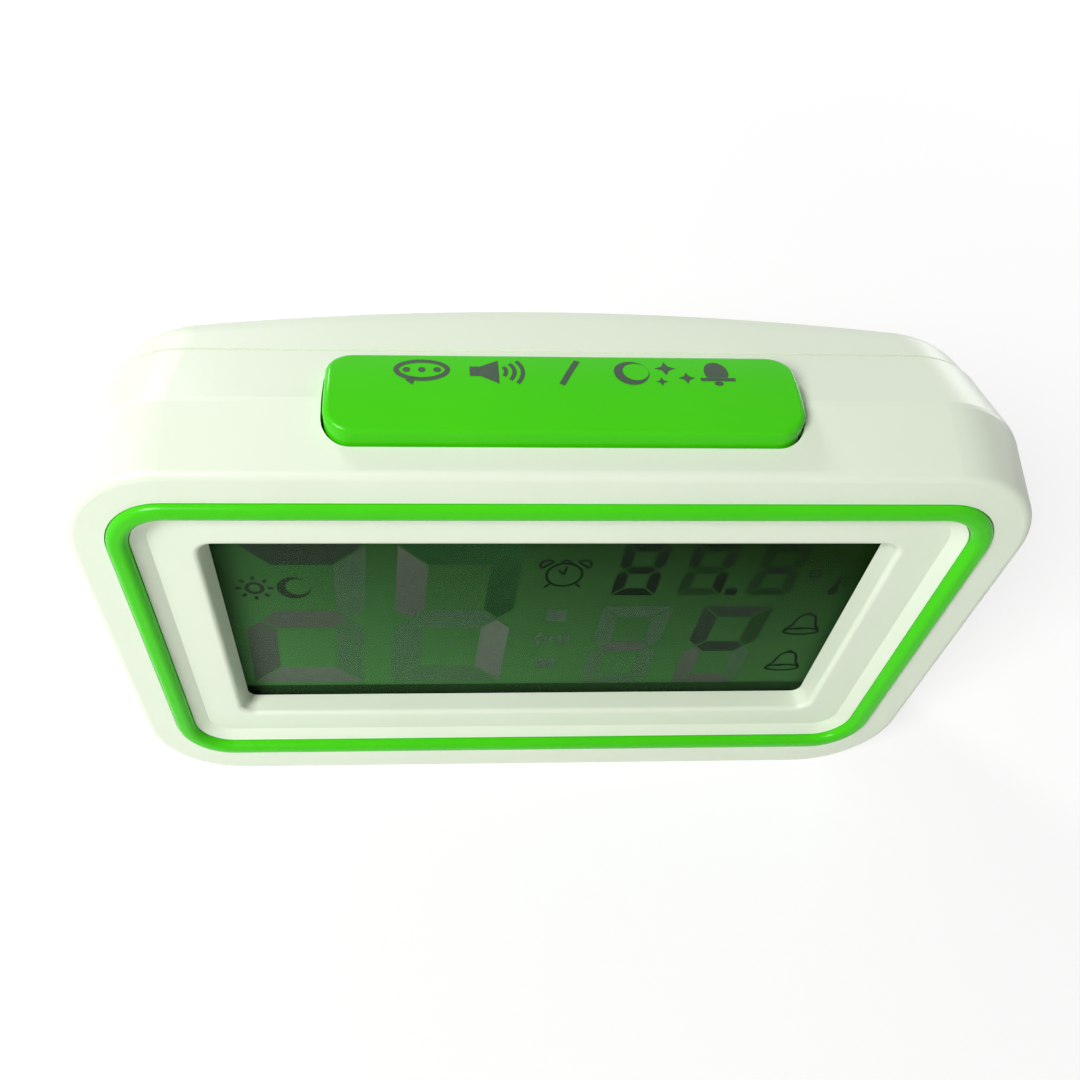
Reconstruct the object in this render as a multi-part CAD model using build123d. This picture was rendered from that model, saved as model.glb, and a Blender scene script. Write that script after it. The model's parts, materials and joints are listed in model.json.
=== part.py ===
from build123d import *
import math
import os

# A desk alarm clock that speaks the time. Sizes are in millimetres and degrees.
# Every piece is drawn in the face's own frame: X to the right, Y from the face to the back and
# Z up along the face, with the middle of the display at the origin.
# stand() then leans the whole clock back on its base.

# Outside of the body: widest and highest at the ridge, less on each side at the face and at the seam
LEAN = 6.0
RIDGE_WIDTH = 133.0
FACE_TAPER = 0.1
SEAM_TAPER = 0.5
FACE_TOP = 37.4
FACE_DROP = 39.6
RIDGE_RISE = 3.9
SEAM_FALL = 0.8
RIDGE_DEPTH = 10.2
RIDGE_BEVEL = 0.4
SEAM_DEPTH = 21.2
CORNER_RADIUS = 15.0
FACE_EDGE_RADIUS = 1.4
WALL = 2.0
RIM_WALL = 2.4

# Rear shell: a shadow groove at the seam, then a back that bows out in plan
REAR_STEP = 0.1
SEAM_GROOVE = 0.6
SEAM_GROOVE_DEPTH = 0.7
REAR_TAPER = 2.5
REAR_FALL = 1.2
REAR_LENGTH = 15.3
BOW_RADIUS = 290.0
REAR_EDGE_RADIUS = 7.0
REAR_LAND = 1.0
LIP_LENGTH = 2.4
LIP_THICKNESS = 0.9
LIP_CLEARANCE = 0.1
LIP_ROOT = 1.2

# Trim ring and the groove it sits in
RING_SIDE_MARGIN = 5.4
RING_HEIGHT = 65.0
RING_BAND = 3.1
RING_CORNER_RADIUS = 9.0
RING_PROUD = 0.9
RING_BEAD_RADIUS = 1.1
GROOVE_DEPTH = 1.8
RING_CLEARANCE = 0.12
PEG_RADIUS = 1.0
PEG_INSET = 23.0
PEG_CLEARANCE = 0.08

# Bezel between the ring and the window
BEZEL_LAND = 0.5
BEZEL_SLOPE = 2.0
LEDGE_DEPTH = 1.6
WINDOW_SIDE_MARGIN = 12.0
WINDOW_MARGIN = 10.9
WINDOW_FLARE = 0.8
WINDOW_CORNER_RADIUS = 1.6
WINDOW_EDGE_RADIUS = 0.9
BLOCK_BORDER = 2.0
LENS_DEPTH = 4.95

# Display stack behind the window
GLASS_BORDER = 4.4
GLASS_THICKNESS = 1.1
LENS_THICKNESS = 1.2
STACK_GAP = 0.1
CONTACT_LEDGE = 4.0
REFLECTOR_THICKNESS = 0.2
CARRIER_BORDER = 2.2
CARRIER_CLEARANCE = 0.3
CARRIER_BACK = 2.3
CARRIER_OPENING = 6.0
ZEBRA_INSET = 6.2
ZEBRA_WIDTH = 2.4
ZEBRA_CLEARANCE = 0.2

# Snooze bar, pushed straight down along the face's Z
BAR_WIDTH = 62.4
BAR_FRONT = 4.2
BAR_BACK = 17.6
BAR_CORNER_RADIUS = 3.6
BAR_PROUD = 2.3
BAR_CROWN_RADIUS = 24.0
BAR_EDGE_RADIUS = 0.9
BAR_WALL = 1.6
BAR_ROOF = 1.8
BAR_SKIRT = 3.0
BAR_CLEARANCE = 0.35
BAR_TRAVEL = 1.0
BAR_TAB_REACH = 2.2
BAR_TAB_DEPTH = 5.0
BAR_TAB_HEIGHT = 1.8
BAR_TAB_GAP = 0.2
BAR_POST = 2.4

# Boards and what is soldered to them
BOARD_THICKNESS = 1.6
BOARD_MARGIN = 1.8
BOARD_BOSS_RADIUS = 2.6
BOARD_SCREW_INSET = 13.0
BOARD_SCREW_RADIUS = 1.0
SWITCH_SIZE = 6.0
SWITCH_HEIGHT = 4.3
SWITCH_DEPTH = 4.4
PLUNGER_WIDTH = 3.0
PLUNGER_DEPTH = 1.8
PLUNGER_CLEARANCE = 0.1
PLUNGER_SPARE = 0.3
GLOB_RADIUS = 6.5
GLOB_HEIGHT = 1.6
GLOB_EDGE_RADIUS = 1.4
GLOB_PLACES = ((-16.0, 6.0), (14.0, -8.0))
CRYSTAL_RADIUS = 1.0
CRYSTAL_LENGTH = 6.0
CAPACITOR_RADIUS = 2.5
CAPACITOR_LENGTH = 5.4
CAPACITOR_INSET = 15.0
CAPACITOR_HEIGHT = 2.0
THERMISTOR_RADIUS = 1.2

# Case screws and the columns they run through
SCREW_INSET_X = 8.5
SCREW_INSET_TOP = 11.5
SCREW_INSET_BOTTOM = 12.4
COLUMN_RADIUS = 3.5
COLUMN_SETBACK = 2.2
COLUMN_FLOOR = 4.0
CASE_SCREW_RADIUS = 1.25
CASE_SCREW_GRIP = 8.0
HEAD_HEIGHT = 1.8
HEAD_RATIO = 1.9
HEAD_EDGE_RADIUS = 0.6
CROSS_RATIO = 1.2
CROSS_WIDTH = 0.6
CROSS_DEPTH = 0.9
HEAD_CLEARANCE = 0.3
SCREW_CLEARANCE = 0.05
SEAT_GAP = 0.05

# Keys on the back, each over a tactile switch on the key board
KEY_NAMES = ("mode", "set", "up", "down")
KEY_INSET = 19.0
KEY_PITCH = 11.0
KEY_DROP = 20.3
KEY_RADIUS = 3.6
KEY_PROUD = 1.2
KEY_EDGE_RADIUS = 0.8
KEY_CLEARANCE = 0.25
KEY_FLANGE = 1.2
KEY_FLANGE_GAP = 0.2
KEY_PAD_BORDER = 0.5
KEY_STEM_RADIUS = 1.6
KEY_TRAVEL = 0.8
KEY_BOARD_SETBACK = 16.0
KEY_BOARD_THICKNESS = 1.2
KEY_BOARD_HEIGHT = 11.0
KEY_BOARD_MARGIN = 11.5
KEY_BOSS_INSET = 3.6
KEY_BOSS_RADIUS = 2.4
KEY_SWITCH_HEIGHT = 3.6
KEY_SCREW_GRIP = 4.8

# Speaker behind a grille of round holes in the back
SPEAKER_INSET = 32.0
SPEAKER_DROP = 22.3
SPEAKER_RADIUS = 15.0
SPEAKER_SETBACK = 6.9
SPEAKER_DEPTH = 5.0
SPEAKER_FLANGE = 2.6
SPEAKER_SHEET = 0.9
SPEAKER_CLEARANCE = 0.15
SEAT_WALL = 1.6
SEAT_LEDGE = 1.8
SEAT_RIM = 3.0
MAGNET_RADIUS = 8.0
MAGNET_HEIGHT = 4.5
CONE_NECK = 3.4
CONE_THICKNESS = 0.4
GRILLE_HOLE_RADIUS = 1.0
GRILLE_PITCH = 3.4
GRILLE_RADIUS = 11.0

# Two slim cells side by side, in a bay with a hinged door
CELL_RADIUS = 5.25
CELL_BODY = 43.5
CELL_NUB_RADIUS = 1.9
CELL_NUB = 1.0
CELL_CLEARANCE = 0.3
BAY_RISE = 25.1
BAY_WALL = 1.5
SPRING_LENGTH = 5.6
SPRING_RADIUS = 3.0
SPRING_TURNS = 4
SPRING_WIRE_RADIUS = 0.35
CONTACT_THICKNESS = 0.4
CONTACT_SIZE = 8.6
TAG_WIDTH = 3.0
TAG_LENGTH = 3.0
TAG_CLEARANCE = 0.2
PANEL_SETBACK = 1.9
PANEL_BORDER = 1.6
DOOR_THICKNESS = 2.0
DOOR_LAP = 2.0
DOOR_CLEARANCE = 0.3
DOOR_CORNER_RADIUS = 1.2
FRAME_BORDER = 2.6
FRAME_THICKNESS = 1.8
HINGE_PIN_RADIUS = 0.7
HINGE_PIN_LENGTH = 1.4
HINGE_CLEARANCE = 0.05
LATCH_WIDTH = 11.0
LATCH_LENGTH = 6.0
LATCH_SLOT = 0.8
GRIP_WIDTH = 7.0
GRIP_HEIGHT = 1.2
GRIP_DEPTH = 0.7
GRIP_INSET = 1.4

# Rubber feet let into the base
FOOT_RADIUS = 3.2
FOOT_THICKNESS = 1.6
FOOT_RECESS = 0.7
FOOT_CLEARANCE = 0.08
FOOT_EDGE_RADIUS = 0.4
FOOT_FRONT_INSET = 18.5
FOOT_FRONT_DEPTH = 8.0
FOOT_REAR_X = 26.0
FOOT_REAR_SETBACK = 3.9

# Wires
LEAD_RADIUS = 0.5
LEAD_BEND = 1.8
LEAD_REACH = 6.0
RIBBON_WIRES = 5
RIBBON_PITCH = 1.3

# Values that follow from the sizes above
SLOPE = math.tan(math.radians(LEAN))
FACE_WIDTH = RIDGE_WIDTH - 2 * FACE_TAPER
SEAM_WIDTH = RIDGE_WIDTH - 2 * SEAM_TAPER
REAR_WIDTH = SEAM_WIDTH - 2 * REAR_TAPER
RIDGE_TOP = FACE_TOP + RIDGE_RISE
SEAM_TOP = RIDGE_TOP - SEAM_FALL
REAR_TOP = SEAM_TOP - REAR_FALL
BACK_DEPTH = SEAM_DEPTH + REAR_LENGTH
RING_WIDTH = FACE_WIDTH - 2 * RING_SIDE_MARGIN
RING_INNER_WIDTH = RING_WIDTH - 2 * RING_BAND
RING_INNER_HEIGHT = RING_HEIGHT - 2 * RING_BAND
RING_INNER_RADIUS = RING_CORNER_RADIUS - RING_BAND
PEG_SPREAD = RING_WIDTH / 2 - PEG_INSET
WINDOW_WIDTH = RING_WIDTH - 2 * WINDOW_SIDE_MARGIN
WINDOW_HEIGHT = RING_HEIGHT - 2 * WINDOW_MARGIN
GLASS_WIDTH = WINDOW_WIDTH + GLASS_BORDER
GLASS_HEIGHT = WINDOW_HEIGHT + 2 * GLASS_BORDER
GLASS_DEPTH = LENS_DEPTH + LENS_THICKNESS + STACK_GAP
REFLECTOR_DEPTH = GLASS_DEPTH + 2 * GLASS_THICKNESS
CARRIER_DEPTH = REFLECTOR_DEPTH + REFLECTOR_THICKNESS + STACK_GAP
CARRIER_WIDTH = GLASS_WIDTH + 2 * (CARRIER_CLEARANCE + CARRIER_BORDER)
CARRIER_HEIGHT = GLASS_HEIGHT + 2 * (CARRIER_CLEARANCE + CARRIER_BORDER)
BOARD_DEPTH = CARRIER_DEPTH + CARRIER_BACK
BOARD_BACK = BOARD_DEPTH + BOARD_THICKNESS
ZEBRA_HEIGHT = -(GLASS_HEIGHT - CONTACT_LEDGE) / 2
ZEBRA_LENGTH = GLASS_WIDTH - 2 * ZEBRA_INSET
BOARD_WIDTH = GLASS_WIDTH + 2 * BOARD_MARGIN
BOARD_SCREW_SPREAD = BOARD_WIDTH / 2 - BOARD_SCREW_INSET
CAPACITOR_PLACE = (BOARD_WIDTH / 2 - CAPACITOR_INSET, CAPACITOR_HEIGHT)
BOARD_SCREW_HEIGHT = CARRIER_HEIGHT / 2 + BOARD_BOSS_RADIUS + CARRIER_CLEARANCE
BOARD_HEIGHT = 2 * (BOARD_SCREW_HEIGHT + BOARD_BOSS_RADIUS)
BAR_DEPTH = BAR_BACK - BAR_FRONT
BAR_MIDDLE = (BAR_FRONT + BAR_BACK) / 2
SNOOZE_SWITCH_TOP = BOARD_HEIGHT / 2
SNOOZE_SWITCH_DEPTH = BOARD_BACK + SWITCH_DEPTH / 2
SNOOZE_PLUNGER_TOP = SNOOZE_SWITCH_TOP + BAR_TRAVEL + PLUNGER_SPARE
COLUMN_END = SEAM_DEPTH - COLUMN_SETBACK
SCREW_X = SEAM_WIDTH / 2 - SCREW_INSET_X
SCREW_TOP = SEAM_TOP - SCREW_INSET_TOP
SCREW_BOTTOM = SEAM_DEPTH * SLOPE - FACE_DROP + SCREW_INSET_BOTTOM
SCREW_PLACES = [(side * SCREW_X, z) for side in (-1, 1) for z in (SCREW_TOP, SCREW_BOTTOM)]
SCREW_SEAT = COLUMN_END + COLUMN_FLOOR
CASE_SCREW_TIP = COLUMN_END - CASE_SCREW_GRIP
BOARD_SCREW_PLACES = [
    (side * BOARD_SCREW_SPREAD, rise * BOARD_SCREW_HEIGHT) for side in (-1, 1) for rise in (-1, 1)
]
PEG_PLACES = [
    (side * PEG_SPREAD, rise * (RING_HEIGHT - RING_BAND) / 2) for side in (-1, 1) for rise in (-1, 1)
] + [(side * (RING_WIDTH - RING_BAND) / 2, 0.0) for side in (-1, 1)]
KEY_LAST_X = SEAM_WIDTH / 2 - KEY_INSET
KEY_PLACES = [KEY_LAST_X - index * KEY_PITCH for index in reversed(range(len(KEY_NAMES)))]
KEY_HEIGHT = REAR_TOP - KEY_DROP
KEY_BOARD_DEPTH = BACK_DEPTH - KEY_BOARD_SETBACK
KEY_BOARD_LEFT = KEY_PLACES[0] - KEY_BOARD_MARGIN
KEY_BOARD_RIGHT = KEY_PLACES[-1] + KEY_BOARD_MARGIN
KEY_BOARD_BACK = KEY_BOARD_DEPTH + KEY_BOARD_THICKNESS
KEY_BOSS_PLACES = (KEY_BOARD_LEFT + KEY_BOSS_INSET, KEY_BOARD_RIGHT - KEY_BOSS_INSET)
KEY_SWITCH_TOP = KEY_BOARD_BACK + KEY_SWITCH_HEIGHT
KEY_SCREW_TIP = KEY_BOARD_BACK + KEY_SCREW_GRIP
KEY_PLUNGER_TOP = KEY_SWITCH_TOP + KEY_TRAVEL + PLUNGER_SPARE
SPEAKER_X = SPEAKER_INSET - SEAM_WIDTH / 2
SPEAKER_HEIGHT = REAR_TOP - SPEAKER_DROP
SPEAKER_FACE = BACK_DEPTH - SPEAKER_SETBACK
CELL_LENGTH = CELL_BODY + CELL_NUB
CELL_PITCH = 2 * CELL_RADIUS + CELL_CLEARANCE
BAY_HEIGHT_MIDDLE = BAY_RISE - FACE_DROP
BAY_LENGTH = CELL_LENGTH + SPRING_LENGTH + 2 * CONTACT_THICKNESS + 2 * CELL_CLEARANCE
BAY_HEIGHT = CELL_PITCH + 2 * CELL_RADIUS + 2 * CELL_CLEARANCE
DOOR_WIDTH = BAY_LENGTH + 2 * DOOR_LAP
DOOR_HEIGHT = BAY_HEIGHT + 2 * DOOR_LAP
PANEL_DEPTH = BACK_DEPTH - PANEL_SETBACK
DOOR_INSIDE = PANEL_DEPTH - DOOR_THICKNESS
DOOR_LEDGE = DOOR_INSIDE - DOOR_CLEARANCE
CELL_DEPTH = DOOR_LEDGE - CELL_CLEARANCE - CELL_RADIUS
BAY_FLOOR = CELL_DEPTH - CELL_RADIUS - CELL_CLEARANCE / 2
HINGE_DEPTH = PANEL_DEPTH - DOOR_THICKNESS / 2
HINGE_HEIGHT = BAY_HEIGHT_MIDDLE - DOOR_HEIGHT / 2 + DOOR_THICKNESS / 2
FOOT_FRONT_X = RIDGE_WIDTH / 2 - FOOT_FRONT_INSET
FOOT_REAR_DEPTH = SEAM_DEPTH + FOOT_REAR_SETBACK
FOOT_PLACES = {
    "foot_front_left": (-FOOT_FRONT_X, FOOT_FRONT_DEPTH),
    "foot_front_right": (FOOT_FRONT_X, FOOT_FRONT_DEPTH),
    "foot_rear_left": (-FOOT_REAR_X, FOOT_REAR_DEPTH),
    "foot_rear_right": (FOOT_REAR_X, FOOT_REAR_DEPTH),
}
BODY_SPAN = RIDGE_WIDTH + 2 * WALL
UP_FROM = (Align.CENTER, Align.CENTER, Align.MIN)
THROUGH = 60.0


def between(low, high, share):
    """Value at a share of the way from low to high."""
    return low + (high - low) * share


def base_height(y):
    """Height of the sloping base at depth y."""
    return y * SLOPE - FACE_DROP


def crown_height(y):
    """Height of the body's top at depth y: up to the ridge, then gently down to the seam."""
    if y < RIDGE_DEPTH:
        return between(FACE_TOP, RIDGE_TOP, y / RIDGE_DEPTH)
    return between(RIDGE_TOP, SEAM_TOP, (y - RIDGE_DEPTH) / (SEAM_DEPTH - RIDGE_DEPTH))


def body_width(y):
    """Width of the body at depth y."""
    if y < RIDGE_DEPTH:
        return between(FACE_WIDTH, RIDGE_WIDTH, y / RIDGE_DEPTH)
    return between(RIDGE_WIDTH, SEAM_WIDTH, (y - RIDGE_DEPTH) / (SEAM_DEPTH - RIDGE_DEPTH))


def bow_depth(x):
    """Depth of the bowed back at x."""
    return BACK_DEPTH - BOW_RADIUS + math.sqrt(BOW_RADIUS**2 - x**2)


def section(y, width, top, grow):
    """Rounded outline standing on the base at depth y, offset outwards by grow."""
    bottom = base_height(y) - grow
    top = top + grow
    outline = RectangleRounded(width + 2 * grow, top - bottom, CORNER_RADIUS + grow)
    return (Plane.XZ.offset(-y) * Pos(0, (top + bottom) / 2) * outline).face()


def body_block(y_front, y_back, grow=0.0):
    """Front body between two depths, bevelled at the ridge and offset outwards by grow."""
    ridge = [RIDGE_DEPTH - RIDGE_BEVEL, RIDGE_DEPTH + RIDGE_BEVEL]
    stops = [y_front, *[y for y in ridge if y_front < y < y_back], y_back]
    return loft([section(y, body_width(y), crown_height(y), grow) for y in stops], ruled=True)


def rear_block(y_front, grow=0.0):
    """Rear body from y_front to the bowed back, with its back edge rounded, offset outwards by grow."""
    start = (SEAM_WIDTH - 2 * REAR_STEP, SEAM_TOP - REAR_STEP)
    end = (REAR_WIDTH, REAR_TOP)
    body = loft([section(SEAM_DEPTH, *start, grow), section(BACK_DEPTH + WALL, *end, grow)], ruled=True)
    body &= Pos(0, BACK_DEPTH - BOW_RADIUS, 0) * Cylinder(BOW_RADIUS + grow, 2 * BOW_RADIUS)
    back = body.faces().sort_by(Axis.Y)[-1]
    side_wall = bow_depth(REAR_WIDTH / 2) - SEAM_DEPTH - REAR_LAND
    body = fillet(back.edges(), min(REAR_EDGE_RADIUS, side_wall) + grow)
    if y_front < SEAM_DEPTH:
        body += loft([section(y_front, *start, grow), section(SEAM_DEPTH, *start, grow)], ruled=True)
    return body


def slab(width, height, radius, y_front, y_back, x=0.0, z=0.0):
    """Rounded plate parallel to the face, between two depths."""
    outline = Pos(x, z) * RectangleRounded(width, height, radius)
    return extrude(Plane.XZ.offset(-y_back) * outline, y_back - y_front)


def block(x_range, y_range, z_range):
    """Plain box between pairs of X, Y and Z."""
    low, high = zip(x_range, y_range, z_range)
    size = [b - a for a, b in zip(low, high)]
    return Pos(*low) * Box(*size, align=Align.MIN)


def rod(radius, y_front, y_back, x=0.0, z=0.0):
    """Round bar along Y between two depths."""
    return Pos(x, y_front, z) * Rot(X=-90) * Cylinder(radius, y_back - y_front, align=UP_FROM)


def pipe(outer, inner, y_front, y_back, x=0.0, z=0.0):
    """Round sleeve along Y between two depths."""
    return rod(outer, y_front, y_back, x, z) - rod(inner, y_front, y_back, x, z)


def cross_rod(radius, x_from, x_to, y, z):
    """Round bar along X."""
    return Pos(x_from, y, z) * Rot(Y=90) * Cylinder(radius, x_to - x_from, align=UP_FROM)


def flared(width, height, radius, flare, y_narrow, y_wide):
    """Tapering rounded block, wider by flare on every side at y_wide."""
    wide_size = (width + 2 * flare, height + 2 * flare)
    narrow = Plane.XZ.offset(-y_narrow) * RectangleRounded(width, height, radius)
    wide = Plane.XZ.offset(-y_wide) * RectangleRounded(*wide_size, radius + flare)
    return loft([narrow.face(), wide.face()], ruled=True)


def screw(radius, seat, tip, x, z):
    """Cross-head screw driven towards the face, with its head behind the seat."""
    head = radius * HEAD_RATIO
    body = rod(radius, tip, seat, x, z) + rod(head, seat, seat + HEAD_HEIGHT, x, z)
    body = fillet(body.faces().sort_by(Axis.Y)[-1].edges(), HEAD_EDGE_RADIUS)
    long = CROSS_RATIO * radius
    short = CROSS_WIDTH / 2
    cross_range = (seat + HEAD_HEIGHT - CROSS_DEPTH, seat + HEAD_HEIGHT)
    body -= block((x - long, x + long), cross_range, (z - short, z + short))
    body -= block((x - short, x + short), cross_range, (z - long, z + long))
    return body


def foot_plane():
    """Plane of the base, facing down, with its own Y towards the front."""
    lean = math.radians(LEAN)
    return Plane(origin=(0, 0, -FACE_DROP), x_dir=(1, 0, 0), z_dir=(0, math.sin(lean), -math.cos(lean)))


def foot_disc(place, radius, top, bottom):
    """Disc on the base, from top below to bottom below the base."""
    x, depth = place
    along = depth / math.cos(math.radians(LEAN))
    return foot_plane() * Pos(x, -along, top) * Cylinder(radius, bottom - top, align=UP_FROM)


def bar_prism(grow, bottom, top):
    """Upright prism on the snooze bar's outline, offset outwards by grow."""
    outline = RectangleRounded(BAR_WIDTH + 2 * grow, BAR_DEPTH + 2 * grow, BAR_CORNER_RADIUS + grow)
    return extrude(Pos(0, BAR_MIDDLE, bottom) * outline, top - bottom)


def crown_block(rise):
    """Everything below the body's top line raised by rise, with its ridge rounded off."""
    ends = (-SEAM_DEPTH, 2 * SEAM_DEPTH)
    ridge = (RIDGE_DEPTH, RIDGE_TOP + rise)
    corners = [(ends[0], crown_height(ends[0]) + rise), ridge, (ends[1], crown_height(ends[1]) + rise)]
    floor = [(ends[1], -FACE_DROP), (ends[0], -FACE_DROP)]
    outline = make_face(Polyline(*corners, *floor, close=True))
    outline = fillet(outline.vertices().sort_by_distance(ridge)[0], BAR_CROWN_RADIUS)
    return Pos(BODY_SPAN / -2, 0, 0) * extrude(Plane.YZ * outline, BODY_SPAN)


def wire(*points):
    """Insulated wire along straight runs joined by arcs."""
    path = FilletPolyline(*points, radius=LEAD_BEND)
    return sweep(Plane(origin=path @ 0, z_dir=path % 0) * Circle(LEAD_RADIUS), path)


def coil(radius, wire_radius, length, turns):
    """Open coil of round wire rising along Z from the origin, on quarter-turn arcs."""

    def on_coil(turn):
        angle = 2 * math.pi * turn
        return radius * math.cos(angle), radius * math.sin(angle), length * turn / turns

    quarters = range(4 * turns)
    arcs = [ThreePointArc(on_coil(q / 4), on_coil((q + 0.5) / 4), on_coil((q + 1) / 4)) for q in quarters]
    profile = Plane(origin=arcs[0] @ 0, z_dir=arcs[0] % 0) * Circle(wire_radius)
    return sweep(profile, Wire(arcs))


def make_front_shell():
    """Front half of the case: face, bezel, bar opening and the bosses behind it."""
    shell = body_block(0, SEAM_DEPTH)
    shell = fillet(shell.faces().sort_by(Axis.Y)[0].edges(), FACE_EDGE_RADIUS)
    border = 2 * BLOCK_BORDER
    backing_size = (RING_WIDTH + border, RING_HEIGHT + border)
    backing = slab(*backing_size, RING_CORNER_RADIUS + BLOCK_BORDER, 0, LENS_DEPTH)
    shell -= body_block(RIM_WALL, SEAM_DEPTH, -WALL) - backing
    shell -= slab(RING_WIDTH, RING_HEIGHT, RING_CORNER_RADIUS, -RING_PROUD, GROOVE_DEPTH) - slab(
        RING_INNER_WIDTH, RING_INNER_HEIGHT, RING_INNER_RADIUS, -RING_PROUD, GROOVE_DEPTH
    )
    ledge = (RING_INNER_WIDTH - 2 * BEZEL_SLOPE, RING_INNER_HEIGHT - 2 * BEZEL_SLOPE)
    shell -= slab(RING_INNER_WIDTH, RING_INNER_HEIGHT, RING_INNER_RADIUS, -RING_PROUD, BEZEL_LAND)
    shell -= flared(*ledge, RING_INNER_RADIUS - BEZEL_SLOPE, BEZEL_SLOPE, LEDGE_DEPTH, BEZEL_LAND)
    window = (WINDOW_WIDTH, WINDOW_HEIGHT)
    shell -= flared(*window, WINDOW_CORNER_RADIUS, WINDOW_FLARE, LENS_DEPTH, LEDGE_DEPTH)
    flats = shell.faces().filter_by(Axis.Y)
    ledge_face = flats.sort_by(lambda face: abs(face.center().Y - LEDGE_DEPTH))[0]
    shell = fillet(ledge_face.inner_wires()[0].edges(), WINDOW_EDGE_RADIUS)
    shell -= bar_prism(BAR_CLEARANCE, FACE_TOP - BAR_SKIRT, THROUGH)
    for x, z in SCREW_PLACES:
        shell += rod(COLUMN_RADIUS, LENS_DEPTH - SEAT_GAP, COLUMN_END - SEAT_GAP, x, z)
        shell -= rod(CASE_SCREW_RADIUS + SCREW_CLEARANCE, CASE_SCREW_TIP - SEAT_GAP, COLUMN_END, x, z)
    for x, z in BOARD_SCREW_PLACES:
        shell += rod(BOARD_BOSS_RADIUS, LENS_DEPTH - SEAT_GAP, BOARD_DEPTH, x, z)
        shell -= rod(BOARD_SCREW_RADIUS + SCREW_CLEARANCE, LENS_DEPTH, BOARD_DEPTH, x, z)
    for x, z in PEG_PLACES:
        shell -= rod(PEG_RADIUS + PEG_CLEARANCE, 0, LENS_DEPTH, x, z)
    for name in ("foot_front_left", "foot_front_right"):
        shell -= foot_disc(FOOT_PLACES[name], FOOT_RADIUS + FOOT_CLEARANCE, -FOOT_RECESS, FOOT_THICKNESS)
    return shell


def make_trim_ring():
    """Coloured bead round the display, pegged into its groove."""
    gap = 2 * RING_CLEARANCE
    back = GROOVE_DEPTH - SEAT_GAP
    outside = (RING_WIDTH - gap, RING_HEIGHT - gap, RING_CORNER_RADIUS - RING_CLEARANCE)
    inside = (RING_INNER_WIDTH + gap, RING_INNER_HEIGHT + gap, RING_INNER_RADIUS + RING_CLEARANCE)
    ring = slab(*outside, -RING_PROUD, back) - slab(*inside, -RING_PROUD, back)
    ring = fillet(ring.faces().sort_by(Axis.Y)[0].edges(), RING_BEAD_RADIUS)
    for x, z in PEG_PLACES:
        ring += rod(PEG_RADIUS, back - SEAT_GAP, LENS_DEPTH, x, z)
    return ring


def rear_fittings():
    """Columns, bay, door frame, speaker seat, key pads and bosses inside the rear shell."""
    parts = [rod(COLUMN_RADIUS, COLUMN_END, BACK_DEPTH, x, z) for x, z in SCREW_PLACES]
    wall = 2 * BAY_WALL
    bay_size = (BAY_LENGTH + wall, BAY_HEIGHT + wall)
    parts.append(slab(*bay_size, BAY_WALL, BAY_FLOOR - BAY_WALL, BACK_DEPTH, z=BAY_HEIGHT_MIDDLE))
    frame_size = (DOOR_WIDTH + 2 * FRAME_BORDER, DOOR_HEIGHT + 2 * FRAME_BORDER)
    frame_front = DOOR_LEDGE - FRAME_THICKNESS
    parts.append(slab(*frame_size, FRAME_BORDER, frame_front, BACK_DEPTH, z=BAY_HEIGHT_MIDDLE))
    place = (SPEAKER_X, SPEAKER_HEIGHT)
    bore = SPEAKER_RADIUS + SPEAKER_CLEARANCE
    parts.append(pipe(bore + SEAT_WALL, bore, SPEAKER_FACE - SEAT_RIM, BACK_DEPTH, *place))
    parts.append(pipe(bore + SEAT_WALL, SPEAKER_RADIUS - SEAT_LEDGE, SPEAKER_FACE, BACK_DEPTH, *place))
    for x in KEY_PLACES:
        parts.append(rod(KEY_RADIUS + KEY_FLANGE + KEY_PAD_BORDER, key_pad(x), BACK_DEPTH, x, KEY_HEIGHT))
    for x in KEY_BOSS_PLACES:
        parts.append(rod(KEY_BOSS_RADIUS, KEY_BOARD_BACK, BACK_DEPTH, x, KEY_HEIGHT))
    return parts


def key_pad(x):
    """Depth of the flat pad that a key's flange sits behind."""
    return bow_depth(x + KEY_RADIUS + KEY_FLANGE + KEY_PAD_BORDER) - WALL - SEAT_GAP


def grille_places():
    """Centres of the grille's holes, on a triangular grid inside a circle."""
    count = 2 * math.ceil(GRILLE_RADIUS / GRILLE_PITCH)
    places = []
    for row in range(-count, count + 1):
        for column in range(-count, count + 1):
            x = (column + row % 2 / 2) * GRILLE_PITCH
            z = row * GRILLE_PITCH * math.sqrt(3) / 2
            if math.hypot(x, z) <= GRILLE_RADIUS:
                places.append((SPEAKER_X + x, SPEAKER_HEIGHT + z))
    return places


def seam_groove():
    """Shadow groove round the rear shell, right behind the seam."""
    size = (SEAM_WIDTH - 2 * REAR_STEP, SEAM_TOP - REAR_STEP)
    stops = (SEAM_DEPTH, SEAM_DEPTH + SEAM_GROOVE)
    around = loft([section(y, *size, WALL) for y in stops], ruled=True)
    return around - loft([section(y, *size, -SEAM_GROOVE_DEPTH) for y in stops], ruled=True)


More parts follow.
